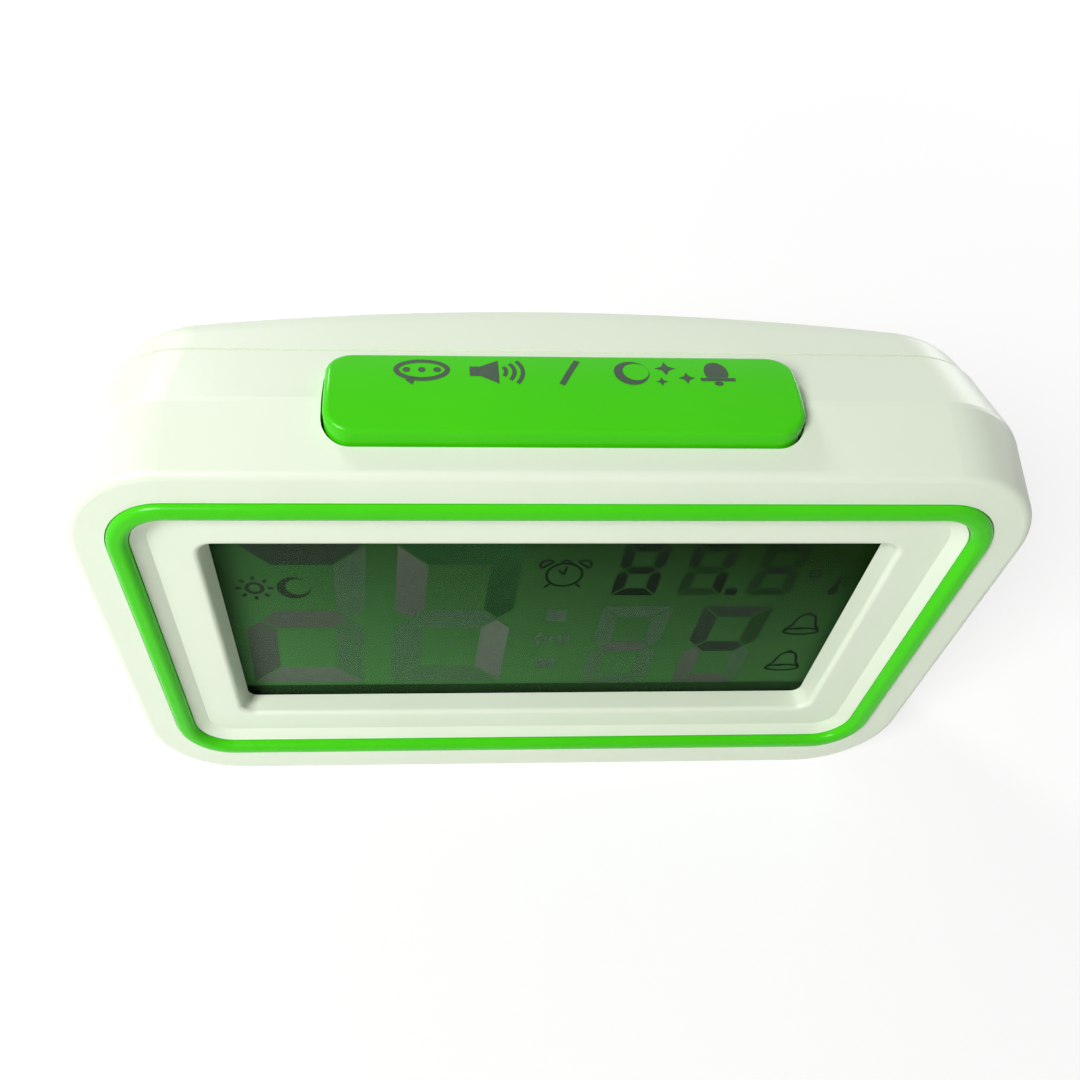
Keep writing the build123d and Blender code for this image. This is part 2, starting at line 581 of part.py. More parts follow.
def make_rear_shell():
    """Rear half of the case: bowed back, battery bay, grille and key holes."""
    shell = rear_block(SEAM_DEPTH) - rear_block(SEAM_DEPTH, -WALL)
    lip_front = SEAM_DEPTH - LIP_LENGTH
    lip_back = SEAM_DEPTH + LIP_LENGTH
    lip_inside = WALL + LIP_CLEARANCE + LIP_THICKNESS
    shell += body_block(lip_front, SEAM_DEPTH, -WALL - LIP_CLEARANCE)
    shell += body_block(SEAM_DEPTH, lip_back, -LIP_ROOT)
    shell -= body_block(lip_front, lip_back, -lip_inside)
    shell -= seam_groove()
    inside = rear_block(BAY_FLOOR - 2 * BAY_WALL, -WALL / 2)
    for fitting in rear_fittings():
        shell += fitting & inside
    bay_size = (BAY_LENGTH, BAY_HEIGHT)
    shell -= slab(*bay_size, BAY_WALL / 2, BAY_FLOOR, THROUGH, z=BAY_HEIGHT_MIDDLE)
    gap = 2 * DOOR_CLEARANCE
    door_size = (DOOR_WIDTH + gap, DOOR_HEIGHT + gap)
    shell -= slab(*door_size, DOOR_CLEARANCE, DOOR_LEDGE, THROUGH, z=BAY_HEIGHT_MIDDLE)
    panel_height = DOOR_HEIGHT + gap + 2 * PANEL_BORDER
    shell -= slab(SEAM_WIDTH, panel_height, PANEL_BORDER, PANEL_DEPTH, THROUGH, z=BAY_HEIGHT_MIDDLE)
    reach = DOOR_WIDTH / 2 + HINGE_PIN_LENGTH + DOOR_CLEARANCE
    shell -= cross_rod(HINGE_PIN_RADIUS + HINGE_CLEARANCE, -reach, reach, HINGE_DEPTH, HINGE_HEIGHT)
    for x, z in SCREW_PLACES:
        shell -= rod(CASE_SCREW_RADIUS + SCREW_CLEARANCE, COLUMN_END, SCREW_SEAT, x, z)
        shell -= rod(CASE_SCREW_RADIUS * HEAD_RATIO + HEAD_CLEARANCE, SCREW_SEAT, THROUGH, x, z)
    for x, z in grille_places():
        shell -= rod(GRILLE_HOLE_RADIUS, SPEAKER_FACE, THROUGH, x, z)
    for x in KEY_PLACES:
        shell -= rod(KEY_RADIUS + KEY_CLEARANCE, key_pad(x), THROUGH, x, KEY_HEIGHT)
    for x in KEY_BOSS_PLACES:
        bore = BOARD_SCREW_RADIUS + SCREW_CLEARANCE
        shell -= rod(bore, KEY_BOARD_BACK, KEY_SCREW_TIP + SEAT_GAP, x, KEY_HEIGHT)
    for x, z in tag_places():
        half = TAG_WIDTH / 2 + TAG_CLEARANCE
        slot = (x - CONTACT_THICKNESS - TAG_CLEARANCE, x + CONTACT_THICKNESS + TAG_CLEARANCE)
        shell -= block(slot, (BAY_FLOOR - 2 * BAY_WALL, BAY_FLOOR), (z - half, z + half))
    for name in ("foot_rear_left", "foot_rear_right"):
        shell -= foot_disc(FOOT_PLACES[name], FOOT_RADIUS + FOOT_CLEARANCE, -FOOT_RECESS, FOOT_THICKNESS)
    return shell


def make_battery_door():
    """Flat door on two pins along its lower edge, with a springy latch tongue at the top."""
    bottom = BAY_HEIGHT_MIDDLE - DOOR_HEIGHT / 2
    top = BAY_HEIGHT_MIDDLE + DOOR_HEIGHT / 2
    size = (DOOR_WIDTH, DOOR_HEIGHT)
    door = slab(*size, DOOR_CORNER_RADIUS, DOOR_INSIDE, PANEL_DEPTH, z=BAY_HEIGHT_MIDDLE)
    half = DOOR_WIDTH / 2
    door -= block((-half, half), (DOOR_INSIDE, PANEL_DEPTH), (bottom, HINGE_HEIGHT))
    door += cross_rod(DOOR_THICKNESS / 2, -half, half, HINGE_DEPTH, HINGE_HEIGHT)
    reach = half + HINGE_PIN_LENGTH
    door += cross_rod(HINGE_PIN_RADIUS, -reach, reach, HINGE_DEPTH, HINGE_HEIGHT)
    for side in (-1, 1):
        middle = side * LATCH_WIDTH / 2
        slot = (middle - LATCH_SLOT / 2, middle + LATCH_SLOT / 2)
        door -= block(slot, (DOOR_INSIDE, PANEL_DEPTH), (top - LATCH_LENGTH, top))
    grip_top = top - GRIP_INSET
    grip = (-GRIP_WIDTH / 2, GRIP_WIDTH / 2)
    door -= block(grip, (PANEL_DEPTH - GRIP_DEPTH, PANEL_DEPTH), (grip_top - GRIP_HEIGHT, grip_top))
    return door


def make_snooze_bar():
    """Hollow crowned bar with two end tabs under the case's top and a post over its switch."""
    skirt = FACE_TOP - BAR_SKIRT + BAR_TRAVEL + BAR_CLEARANCE
    bar = bar_prism(0, skirt, THROUGH) & crown_block(BAR_PROUD)
    bar = fillet([edge for edge in bar.edges() if is_top_rim(edge)], BAR_EDGE_RADIUS)
    bar -= bar_prism(-BAR_WALL, skirt, THROUGH) & crown_block(BAR_PROUD - BAR_ROOF)
    tab_top = crown_block(-WALL - BAR_TAB_GAP)
    tab_range = (RIDGE_DEPTH + BAR_TAB_GAP, RIDGE_DEPTH + BAR_TAB_DEPTH)
    tab_low = crown_height(tab_range[1]) - WALL - BAR_TAB_GAP - BAR_TAB_HEIGHT
    for side in (-1, 1):
        ends = sorted((side * (BAR_WIDTH / 2 - BAR_WALL), side * (BAR_WIDTH / 2 + BAR_TAB_REACH)))
        bar += block(ends, tab_range, (tab_low, THROUGH)) & tab_top
    half = BAR_POST / 2
    post_range = (SNOOZE_SWITCH_DEPTH - half, SNOOZE_SWITCH_DEPTH + half)
    post = block((-half, half), post_range, (SNOOZE_PLUNGER_TOP, THROUGH))
    bar += post & crown_block(BAR_PROUD - BAR_ROOF / 2)
    return bar


def is_top_rim(edge):
    """Whether an edge of the plain bar goes round its top, not down a corner or across its crown."""
    middle = edge.center()
    high = middle.Z > crown_height(middle.Y) + BAR_PROUD / 2
    inside = BAR_FRONT + BAR_EDGE_RADIUS < middle.Y < BAR_BACK - BAR_EDGE_RADIUS
    crosses = inside and edge.length > BAR_WIDTH / 2
    return high and not crosses


def make_display():
    """Clear lens, liquid crystal cell, reflector film, carrier frame and contact strip."""
    lens = slab(GLASS_WIDTH, GLASS_HEIGHT, WINDOW_CORNER_RADIUS, LENS_DEPTH, LENS_DEPTH + LENS_THICKNESS)
    rear_glass_height = GLASS_HEIGHT - CONTACT_LEDGE
    rear_glass_middle = CONTACT_LEDGE / 2
    middle = GLASS_DEPTH + GLASS_THICKNESS
    panel = slab(GLASS_WIDTH, GLASS_HEIGHT, STACK_GAP, GLASS_DEPTH, middle)
    panel += slab(GLASS_WIDTH, rear_glass_height, STACK_GAP, middle, REFLECTOR_DEPTH, z=rear_glass_middle)
    reflector_end = REFLECTOR_DEPTH + REFLECTOR_THICKNESS
    reflector = slab(
        GLASS_WIDTH, rear_glass_height, STACK_GAP, REFLECTOR_DEPTH, reflector_end, z=rear_glass_middle
    )
    carrier = slab(CARRIER_WIDTH, CARRIER_HEIGHT, CARRIER_BORDER, LENS_DEPTH + SEAT_GAP, BOARD_DEPTH)
    gap = 2 * CARRIER_CLEARANCE
    carrier -= slab(GLASS_WIDTH + gap, GLASS_HEIGHT + gap, CARRIER_CLEARANCE, 0, CARRIER_DEPTH)
    carrier -= slab(
        WINDOW_WIDTH - CARRIER_OPENING, WINDOW_HEIGHT - CARRIER_OPENING, CARRIER_BORDER, 0, BOARD_DEPTH
    )
    slot = (ZEBRA_LENGTH + 2 * ZEBRA_CLEARANCE, ZEBRA_WIDTH + 2 * ZEBRA_CLEARANCE)
    carrier -= slab(*slot, ZEBRA_CLEARANCE, CARRIER_DEPTH, BOARD_DEPTH, z=ZEBRA_HEIGHT)
    zebra = slab(ZEBRA_LENGTH, ZEBRA_WIDTH, ZEBRA_CLEARANCE, middle, BOARD_DEPTH, z=ZEBRA_HEIGHT)
    return {
        "display_lens": lens,
        "lcd_panel": panel,
        "lcd_reflector": reflector,
        "lcd_carrier": carrier,
        "zebra_strip": zebra,
    }


def make_main_board():
    """Main board with its chips, crystal, capacitor, temperature sensor and snooze switch."""
    board = slab(BOARD_WIDTH, BOARD_HEIGHT, BOARD_BOSS_RADIUS, BOARD_DEPTH, BOARD_BACK)
    for x, z in BOARD_SCREW_PLACES:
        board -= rod(BOARD_SCREW_RADIUS + SCREW_CLEARANCE, BOARD_DEPTH, BOARD_BACK, x, z)
    globs = []
    for x, z in GLOB_PLACES:
        glob = rod(GLOB_RADIUS, BOARD_BACK, BOARD_BACK + GLOB_HEIGHT, x, z)
        globs.append(fillet(glob.faces().sort_by(Axis.Y)[-1].edges(), GLOB_EDGE_RADIUS))
    above = SNOOZE_SWITCH_TOP - SWITCH_HEIGHT
    crystal_x = GLOB_PLACES[0][0] - GLOB_RADIUS - CRYSTAL_LENGTH - CRYSTAL_RADIUS
    crystal_z = GLOB_PLACES[0][1]
    crystal = cross_rod(
        CRYSTAL_RADIUS, crystal_x, crystal_x + CRYSTAL_LENGTH, BOARD_BACK + CRYSTAL_RADIUS, crystal_z
    )
    capacitor = rod(CAPACITOR_RADIUS, BOARD_BACK, BOARD_BACK + CAPACITOR_LENGTH, *CAPACITOR_PLACE)
    sensor_x = BOARD_WIDTH / 2 - 2 * THERMISTOR_RADIUS
    sensor = Pos(sensor_x, BOARD_BACK + THERMISTOR_RADIUS, 0) * Sphere(THERMISTOR_RADIUS)
    half = SWITCH_SIZE / 2
    switch = block((-half, half), (BOARD_BACK, BOARD_BACK + SWITCH_DEPTH), (above, SNOOZE_SWITCH_TOP))
    plunger_low = SNOOZE_SWITCH_TOP - BAR_TRAVEL - PLUNGER_SPARE
    plunger = snooze_plunger(0, plunger_low, SNOOZE_PLUNGER_TOP)
    switch -= snooze_plunger(PLUNGER_CLEARANCE, plunger_low - BAR_TRAVEL - PLUNGER_SPARE, SNOOZE_SWITCH_TOP)
    return {
        "main_board": board,
        "chip_globs": Compound(children=globs),
        "quartz_can": crystal,
        "capacitor": capacitor,
        "thermistor": sensor,
        "snooze_switch": switch,
        "snooze_plunger": plunger,
    }


def snooze_plunger(grow, bottom, top):
    """Upright slide of the snooze switch, offset outwards by grow."""
    half_width = PLUNGER_WIDTH / 2 + grow
    half_depth = PLUNGER_DEPTH / 2 + grow
    depths = (SNOOZE_SWITCH_DEPTH - half_depth, SNOOZE_SWITCH_DEPTH + half_depth)
    return block((-half_width, half_width), depths, (bottom, top))


def make_keys():
    """Four keys in the back, each with its switch, and the board that carries the switches."""
    width = KEY_BOARD_RIGHT - KEY_BOARD_LEFT
    middle = (KEY_BOARD_RIGHT + KEY_BOARD_LEFT) / 2
    board = slab(
        width, KEY_BOARD_HEIGHT, KEY_BOSS_RADIUS, KEY_BOARD_DEPTH, KEY_BOARD_BACK, middle, KEY_HEIGHT
    )
    for x in KEY_BOSS_PLACES:
        board -= rod(BOARD_SCREW_RADIUS + SCREW_CLEARANCE, KEY_BOARD_DEPTH, KEY_BOARD_BACK, x, KEY_HEIGHT)
    pieces = {"key_board": board}
    switches = []
    plunger_radius = PLUNGER_WIDTH / 2
    plunger_low = KEY_BOARD_BACK + KEY_TRAVEL + PLUNGER_SPARE
    bore_floor = plunger_low - KEY_TRAVEL - PLUNGER_CLEARANCE
    for name, x in zip(KEY_NAMES, KEY_PLACES):
        place = (x, KEY_HEIGHT)
        body = slab(SWITCH_SIZE, SWITCH_SIZE, PLUNGER_SPARE, KEY_BOARD_BACK, KEY_SWITCH_TOP, *place)
        body -= rod(plunger_radius + PLUNGER_CLEARANCE, bore_floor, KEY_SWITCH_TOP, *place)
        switches.append(body)
        pieces[name + "_plunger"] = rod(plunger_radius, plunger_low, KEY_PLUNGER_TOP, *place)
        flange_back = key_pad(x) - KEY_FLANGE_GAP
        key = rod(KEY_RADIUS, flange_back - KEY_FLANGE, bow_depth(x) + KEY_PROUD, *place)
        key = fillet(key.faces().sort_by(Axis.Y)[-1].edges(), KEY_EDGE_RADIUS)
        key += rod(KEY_RADIUS + KEY_FLANGE, flange_back - KEY_FLANGE, flange_back, *place)
        key += rod(KEY_STEM_RADIUS, KEY_PLUNGER_TOP, flange_back, *place)
        pieces[name + "_key"] = key
    pieces["key_switches"] = Compound(children=switches)
    return pieces


def make_speaker():
    """Moving-coil speaker facing the grille: pressed frame, paper cone and magnet."""
    place = (SPEAKER_X, SPEAKER_HEIGHT)
    floor = SPEAKER_FACE - SPEAKER_DEPTH
    basket = SPEAKER_RADIUS - SPEAKER_FLANGE / 2
    flange_front = SPEAKER_FACE - SPEAKER_SHEET
    frame = pipe(SPEAKER_RADIUS, SPEAKER_RADIUS - SPEAKER_FLANGE, flange_front, SPEAKER_FACE, *place)
    frame += pipe(basket, basket - SPEAKER_SHEET, floor, SPEAKER_FACE - SPEAKER_SHEET / 2, *place)
    frame += rod(basket, floor - SPEAKER_SHEET, floor, *place)
    rim = SPEAKER_RADIUS - SPEAKER_FLANGE - 2 * SPEAKER_CLEARANCE
    height = SPEAKER_DEPTH - 2 * SPEAKER_SHEET
    cone = Cone(CONE_NECK, rim, height, align=UP_FROM)
    cone -= Pos(0, 0, CONE_THICKNESS) * Cone(CONE_NECK, rim, height, align=UP_FROM)
    cone = Pos(SPEAKER_X, floor + SPEAKER_CLEARANCE, SPEAKER_HEIGHT) * Rot(X=-90) * cone
    magnet = rod(MAGNET_RADIUS, floor - SPEAKER_SHEET - MAGNET_HEIGHT, floor - SPEAKER_SHEET, *place)
    return {"speaker_frame": frame, "speaker_cone": cone, "speaker_magnet": magnet}


def tag_places():
    """Middle of each end contact's solder tag, in X and Z."""
    x = BAY_LENGTH / 2 - CONTACT_THICKNESS / 2
    return [(x, BAY_HEIGHT_MIDDLE + rise * CELL_PITCH / 2) for rise in (1, -1)]


def make_power():
    """Two cells, the contact plates at both ends of the bay and the two contact springs."""
    pieces = {}
    end = BAY_LENGTH / 2
    plate_half = CONTACT_SIZE / 2
    plate_range = (CELL_DEPTH - plate_half, CELL_DEPTH + plate_half)
    for name, side in (("upper", 1), ("lower", -1)):
        z = BAY_HEIGHT_MIDDLE + side * CELL_PITCH / 2
        nub_end = side * (end - CONTACT_THICKNESS - CELL_CLEARANCE / 2)
        shoulder = nub_end - side * CELL_NUB
        flat_end = nub_end - side * CELL_LENGTH
        cell = cross_rod(CELL_RADIUS, *sorted((shoulder, flat_end)), CELL_DEPTH, z)
        cell += cross_rod(CELL_NUB_RADIUS, *sorted((shoulder, nub_end)), CELL_DEPTH, z)
        pieces["battery_cell_" + name] = cell
        room = abs(-side * (end - CONTACT_THICKNESS) - flat_end) - 2 * SPRING_WIRE_RADIUS
        spring = coil(SPRING_RADIUS, SPRING_WIRE_RADIUS, room - 2 * SEAT_GAP, SPRING_TURNS)
        start = -side * (end - CONTACT_THICKNESS - SPRING_WIRE_RADIUS - SEAT_GAP)
        pieces["contact_spring_" + name] = Pos(start, CELL_DEPTH, z) * Rot(Y=side * 90) * spring
    bridge_half = CELL_PITCH / 2 + plate_half
    bridge_heights = (BAY_HEIGHT_MIDDLE - bridge_half, BAY_HEIGHT_MIDDLE + bridge_half)
    pieces["contact_bridge"] = block((-end, CONTACT_THICKNESS - end), plate_range, bridge_heights)
    tag_front = BAY_FLOOR - BAY_WALL - TAG_LENGTH
    for name, (x, z) in zip(("contact_positive", "contact_negative"), tag_places()):
        plate = (end - CONTACT_THICKNESS, end)
        contact = block(plate, plate_range, (z - plate_half, z + plate_half))
        contact += block(plate, (tag_front, CELL_DEPTH), (z - TAG_WIDTH / 2, z + TAG_WIDTH / 2))
        pieces[name] = contact
    return pieces


def make_fasteners():
    """Screws through the case, the main board and the key board, in groups."""
    case = [screw(CASE_SCREW_RADIUS, SCREW_SEAT, CASE_SCREW_TIP, x, z) for x, z in SCREW_PLACES]
    board_tip = LENS_DEPTH + SEAT_GAP
    board = [screw(BOARD_SCREW_RADIUS, BOARD_BACK, board_tip, x, z) for x, z in BOARD_SCREW_PLACES]
    key_board = []
    for x in KEY_BOSS_PLACES:
        turned = screw(BOARD_SCREW_RADIUS, -KEY_BOARD_DEPTH, -KEY_SCREW_TIP, -x, KEY_HEIGHT)
        key_board.append(Rot(Z=180) * turned)
    return {
        "case_screws": Compound(children=case),
        "board_screws": Compound(children=board),
        "key_board_screws": Compound(children=key_board),
    }


def make_leads():
    """Wires from the cells, the speaker and the key board to the main board."""
    tag_edge = BAY_LENGTH / 2
    tag_middle = BAY_FLOOR - BAY_WALL - TAG_LENGTH + LEAD_RADIUS
    battery = []
    for _, z in tag_places():
        corner = (tag_edge + LEAD_REACH, tag_middle, z)
        battery.append(wire((tag_edge, tag_middle, z), corner, (tag_edge + LEAD_REACH, BOARD_BACK, z)))
    basket_edge = SPEAKER_X + SPEAKER_RADIUS - SPEAKER_FLANGE / 2 + SPEAKER_CLEARANCE
    terminal_depth = SPEAKER_FACE - SPEAKER_DEPTH + LEAD_RADIUS
    speaker = []
    for side in (-1, 1):
        z = SPEAKER_HEIGHT + side * RIBBON_PITCH
        corner = (basket_edge + LEAD_REACH, terminal_depth, z)
        speaker.append(wire((basket_edge, terminal_depth, z), corner, (corner[0], BOARD_BACK, z)))
    ribbon = []
    middle = (BOARD_BACK + KEY_BOARD_DEPTH) / 2
    for index in range(RIBBON_WIRES):
        x = KEY_PLACES[0] + index * RIBBON_PITCH
        lower = KEY_HEIGHT - LEAD_REACH
        corners = ((x, middle, KEY_HEIGHT), (x, middle, lower))
        ribbon.append(wire((x, KEY_BOARD_DEPTH, KEY_HEIGHT), *corners, (x, BOARD_BACK, lower)))
    return {
        "battery_leads": Compound(children=battery),
        "speaker_leads": Compound(children=speaker),
        "key_leads": Compound(children=ribbon),
    }


def make_feet():
    """Four rubber feet pressed into the base."""
    feet = {}
    for name, place in FOOT_PLACES.items():
        foot = foot_disc(place, FOOT_RADIUS, SEAT_GAP - FOOT_RECESS, FOOT_THICKNESS - FOOT_RECESS)
        feet[name] = fillet(foot.faces().sort_by(Axis.Z)[0].edges(), FOOT_EDGE_RADIUS)
    return feet


def stand(pieces):
    """Lean the clock back on its base, and put the origin under the middle of its box."""
    leaned = {name: Rot(X=-LEAN) * piece for name, piece in pieces.items()}
    boxes = [piece.bounding_box() for piece in leaned.values()]
    low = [min(getattr(box.min, axis) for box in boxes) for axis in "XYZ"]
    high = [max(getattr(box.max, axis) for box in boxes) for axis in "XYZ"]
    shift = Pos(-(low[0] + high[0]) / 2, -(low[1] + high[1]) / 2, -low[2])
    return {name: shift * piece for name, piece in leaned.items()}, shift


def make_pieces():
    """Every piece of the clock by name, in the face's frame."""
    pieces = {
        "front_shell": make_front_shell(),
        "rear_shell": make_rear_shell(),
        "battery_door": make_battery_door(),
        "trim_ring": make_trim_ring(),
        "snooze_bar": make_snooze_bar(),
    }
    groups = (make_display, make_main_board, make_keys, make_speaker, make_power)
    for group in (*groups, make_fasteners, make_leads, make_feet):
        pieces.update(group())
    return pieces


standing, origin_shift = stand(make_pieces())
os.makedirs("parts", exist_ok=True)
for node, shape in standing.items():
    export_step(shape, f"parts/{node}.step")
print(len(standing), "pieces; origin moved by", origin_shift.position)
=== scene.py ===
"""Looks of a talking alarm clock, laid out as a Blender add-on and run as a script."""

import json
import math

import bpy
from bpy.props import FloatProperty, FloatVectorProperty, PointerProperty
from mathutils import Matrix, Vector


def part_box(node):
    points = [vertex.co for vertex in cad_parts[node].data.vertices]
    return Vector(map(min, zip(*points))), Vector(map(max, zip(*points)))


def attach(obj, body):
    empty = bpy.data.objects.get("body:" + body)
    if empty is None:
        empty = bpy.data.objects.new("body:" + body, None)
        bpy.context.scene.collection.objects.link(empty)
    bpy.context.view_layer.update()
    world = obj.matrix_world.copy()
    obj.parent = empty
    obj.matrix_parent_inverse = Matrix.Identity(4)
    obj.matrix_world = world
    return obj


bl_info = {
    "name": "Talking Alarm Clock",
    "version": (1, 0, 0),
    "blender": (4, 5, 0),
    "location": "View3D > Sidebar > Clock",
    "description": "Finishes, display figures and printed signs of a talking alarm clock",
    "category": "Object",
}

MM = 0.001

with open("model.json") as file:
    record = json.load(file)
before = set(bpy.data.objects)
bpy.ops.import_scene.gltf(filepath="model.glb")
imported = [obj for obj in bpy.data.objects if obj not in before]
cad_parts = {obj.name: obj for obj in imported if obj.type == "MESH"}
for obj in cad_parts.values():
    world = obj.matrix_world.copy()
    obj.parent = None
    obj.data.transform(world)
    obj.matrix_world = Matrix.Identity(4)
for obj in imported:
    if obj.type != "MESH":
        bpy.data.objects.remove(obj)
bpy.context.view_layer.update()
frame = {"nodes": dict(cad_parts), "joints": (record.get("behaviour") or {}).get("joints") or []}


def joint_axis(name):
    """Axis of one of the frame's joints, as a unit vector."""
    found = [joint for joint in frame["joints"] if joint["name"] == name]
    if not found:
        raise RuntimeError(f"the frame has no joint named {name}")
    return Vector(found[0]["axis"]).normalized()


def middle(node):
    """Middle of a node's box."""
    low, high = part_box(node)
    return (low + high) / 2


# The push bar travels down along the face, so its joint gives the face's lean.
FACE_UP = -joint_axis("snooze_press")
FACE_IN = FACE_UP.cross(Vector((1, 0, 0)))
FACE_TURN = Matrix((Vector((1, 0, 0)), FACE_IN, FACE_UP)).transposed().to_4x4()
# Depths behind the face: the lens's middle, the painted shade border and the figures between lens and cell,
# the door and the back
LENS_MIDDLE = 5.55 * MM
SHADE_BORDER_DEPTH = 6.19 * MM
FIGURE_DEPTH = 6.24 * MM
DOOR_DEPTH = 34.6 * MM
BACK_DEPTH = 36.5 * MM
# Radius to which the back bows out in plan
BOW_RADIUS = 290 * MM
# The face's own frame: X to the right, Y from the face to the back, Z up along the face
FACE = Matrix.Translation(middle("display_lens") - FACE_IN * LENS_MIDDLE) @ FACE_TURN
# Drawings lie in XY and face +Z. These turn them to face the front or the back of the clock.
TO_FRONT = Matrix.Rotation(math.radians(90), 4, "X")
TO_BACK = Matrix.Rotation(math.radians(180), 4, "Z") @ TO_FRONT
# Corners of flat shapes, from a triangle to a full round
TRIANGLE = 3
OCTAGON = 8
TINY_ROUND = 12
SMALL_ROUND = 16
BULB_ROUND = 20
FULL_ROUND = 36
# Index of a print's gloss: none under the lens, as plastic in air
UNDER_LENS = 1.0
IN_AIR = 1.5


def linear(hex_colour):
    """Linear RGBA of an sRGB hex colour."""
    parts = [int(hex_colour[at : at + 2], 16) / 255 for at in (1, 3, 5)]
    return (*[c / 12.92 if c <= 0.04045 else ((c + 0.055) / 1.055) ** 2.4 for c in parts], 1.0)


def colour_property(name, description, hex_colour):
    """A colour that a user can change."""
    return FloatVectorProperty(
        name=name, description=description, default=linear(hex_colour), size=4, min=0, max=1, subtype="COLOR"
    )


def length_property(name, description, millimetres):
    """A length that a user can change."""
    return FloatProperty(
        name=name, description=description, default=millimetres * MM, unit="LENGTH", precision=5
    )


def size_property(name, description, *millimetres):
    """Lengths of one thing that a user can change."""
    lengths = [each * MM for each in millimetres]
    return FloatVectorProperty(
        name=name, description=description, default=lengths, size=len(lengths), unit="LENGTH", precision=5
    )


def power_property(name, description, watts):
    """A lamp's power that a user can change."""
    return FloatProperty(name=name, description=description, default=watts, unit="POWER")


class FinishSettings(bpy.types.PropertyGroup):
    """Colours of the clock's materials."""

    case: colour_property("Case", "Satin plastic of the two shells and the battery door", "#ebf4e1")
    case_shade: colour_property("Case clouding", "Slightly duller tone in the case's plastic", "#e4eed8")
    trim: colour_property("Trim", "Glossy plastic of the ring, the push bar and the keys", "#47d20a")
    trim_shade: colour_property("Trim clouding", "Slightly deeper tone in the trim's plastic", "#3fc806")
    # The display's painted shading: lit at the lower left, painted shade at the upper right
    display_lit_lower_left: colour_property("Display, lower left", "Display's tone at its lower left", "#4f874b")
    display_shaded_upper_right: colour_property("Display, upper right", "Display's tone at its upper right", "#0f2a05")
    ink_black: colour_property("Black segments", "Figures and signs that are switched on", "#122112")
    ink_dark: colour_property("Dark segments", "Large segments that are switched on", "#2b3a2b")
    ink_deep: colour_property("Deep segments", "Segments between on and off, deep green", "#214824")
    ink_slate: colour_property("Slate segments", "Segments that look grey from above", "#4e5a4c")
    ink_pale: colour_property("Pale segments", "Segments that look pale grey from above", "#606e5e")
    ink_faint: colour_property("Faint segments", "Segments that are switched off", "#6a7a70")
    # Painted shade: this dark border stands in for the window's shadow on the recessed cell
    mask: colour_property("Display border", "Dark border round the display's figures", "#2a4a27")
    print_ink: colour_property("Printed signs", "Ink of the signs on the push bar and the back", "#2f4430")


class FigureSettings(bpy.types.PropertyGroup):
    """Sizes of the display's figures."""

    large: size_property("Hour figure", "Width, height and stroke of an hour figure", 18.9, 36.8, 4.7)
    medium: size_property("Minute figure", "Width, height and stroke of a minute figure", 11.4, 22.5, 2.9)
    small: size_property("Degree figure", "Width, height and stroke of a degree figure", 7.0, 12.4, 1.8)
    gap: length_property("Gap", "Gap between two neighbouring segments", 0.35)
    film: length_property("Film", "Thickness of a printed film", 0.02)
    sign_line: length_property("Sign line", "Width of the lines of the display's signs", 0.42)
    # The border's sizes: where the window's shadow on the cell is painted
    border: size_property("Border", "Width and height of the display's border", 102.4, 52.0)
    inner: size_property("Border inside", "Its left, right and lower inner edges", -50.0, 50.0, -20.5)
    slant: FloatProperty(name="Slant", description="Sideways lean per unit of height", default=0.055)


class StageSettings(bpy.types.PropertyGroup):
    """Camera, lamps and floor."""

    camera_place: FloatVectorProperty(
        name="Camera",
        description="Place of the camera",
        default=(-0.01796, -0.08725, 0.16801),
        subtype="TRANSLATION",
    )
    camera_turn: FloatVectorProperty(
        name="Camera turn",
        description="Pitch, yaw and roll of the camera",
        default=(math.radians(35.117), math.radians(-2.767), 0),
        subtype="EULER",
    )
    focal_length: FloatProperty(name="Lens", description="Focal length in millimetres", default=30.86)
    shift: FloatProperty(name="Shift", description="Sideways shift of the frame", default=0.0636)
    floor: colour_property("Floor", "Plain pale floor", "#f4f5f2")
    key_power: power_property("Key lamp", "Power of the lamp at the front left", 3.65)
    back_power: power_property("Back lamp", "Power of the lamp at the back left", 0.85)
    fill_power: power_property("Fill lamp", "Power of the low lamp at the back right", 0.8)
    sky: FloatProperty(name="Sky", description="Strength of the even light all round", default=0.12)


class ClockSettings(bpy.types.PropertyGroup):
    """All settings of the clock."""

    finish: PointerProperty(type=FinishSettings)
    figures: PointerProperty(type=FigureSettings)
    stage: PointerProperty(type=StageSettings)


def add_node(owner, kind, inputs=None, **settings):
    """A node of a material or the world, with its settings, its input values and its links."""
    node = owner.node_tree.nodes.new(kind)
    for name, value in settings.items():
        setattr(node, name, value)
    for name, value in (inputs or {}).items():
        if isinstance(value, bpy.types.NodeSocket):
            owner.node_tree.links.new(value, node.inputs[name])
        else:
            node.inputs[name].default_value = value
    return node


def blank_material(name):
    """A material with no nodes but its object coordinates, and those coordinates."""
    material = bpy.data.materials.new(name)
    material.use_nodes = True
    material.node_tree.nodes.clear()
    return material, add_node(material, "ShaderNodeTexCoord").outputs["Object"]


def finish_material(material, inputs):
    """Give a material its shader and its output."""
    shader = add_node(material, "ShaderNodeBsdfPrincipled", inputs)
    add_node(material, "ShaderNodeOutputMaterial", {"Surface": shader.outputs["BSDF"]})
    return material


def cells_per_metre(millimetres):
    """Texture scale whose cells have that size."""
    return 1 / (millimetres * MM)


def uneven(material, place, size, low, high, detail=2.0):
    """Value that wanders between low and high, in patches of that size in millimetres."""
    inputs = {"Vector": place, "Scale": cells_per_metre(size), "Detail": detail}
    patches = add_node(material, "ShaderNodeTexNoise", inputs).outputs["Fac"]
    span = add_node(material, "ShaderNodeMapRange", {"Value": patches, "To Min": low, "To Max": high})
    return span.outputs["Result"]


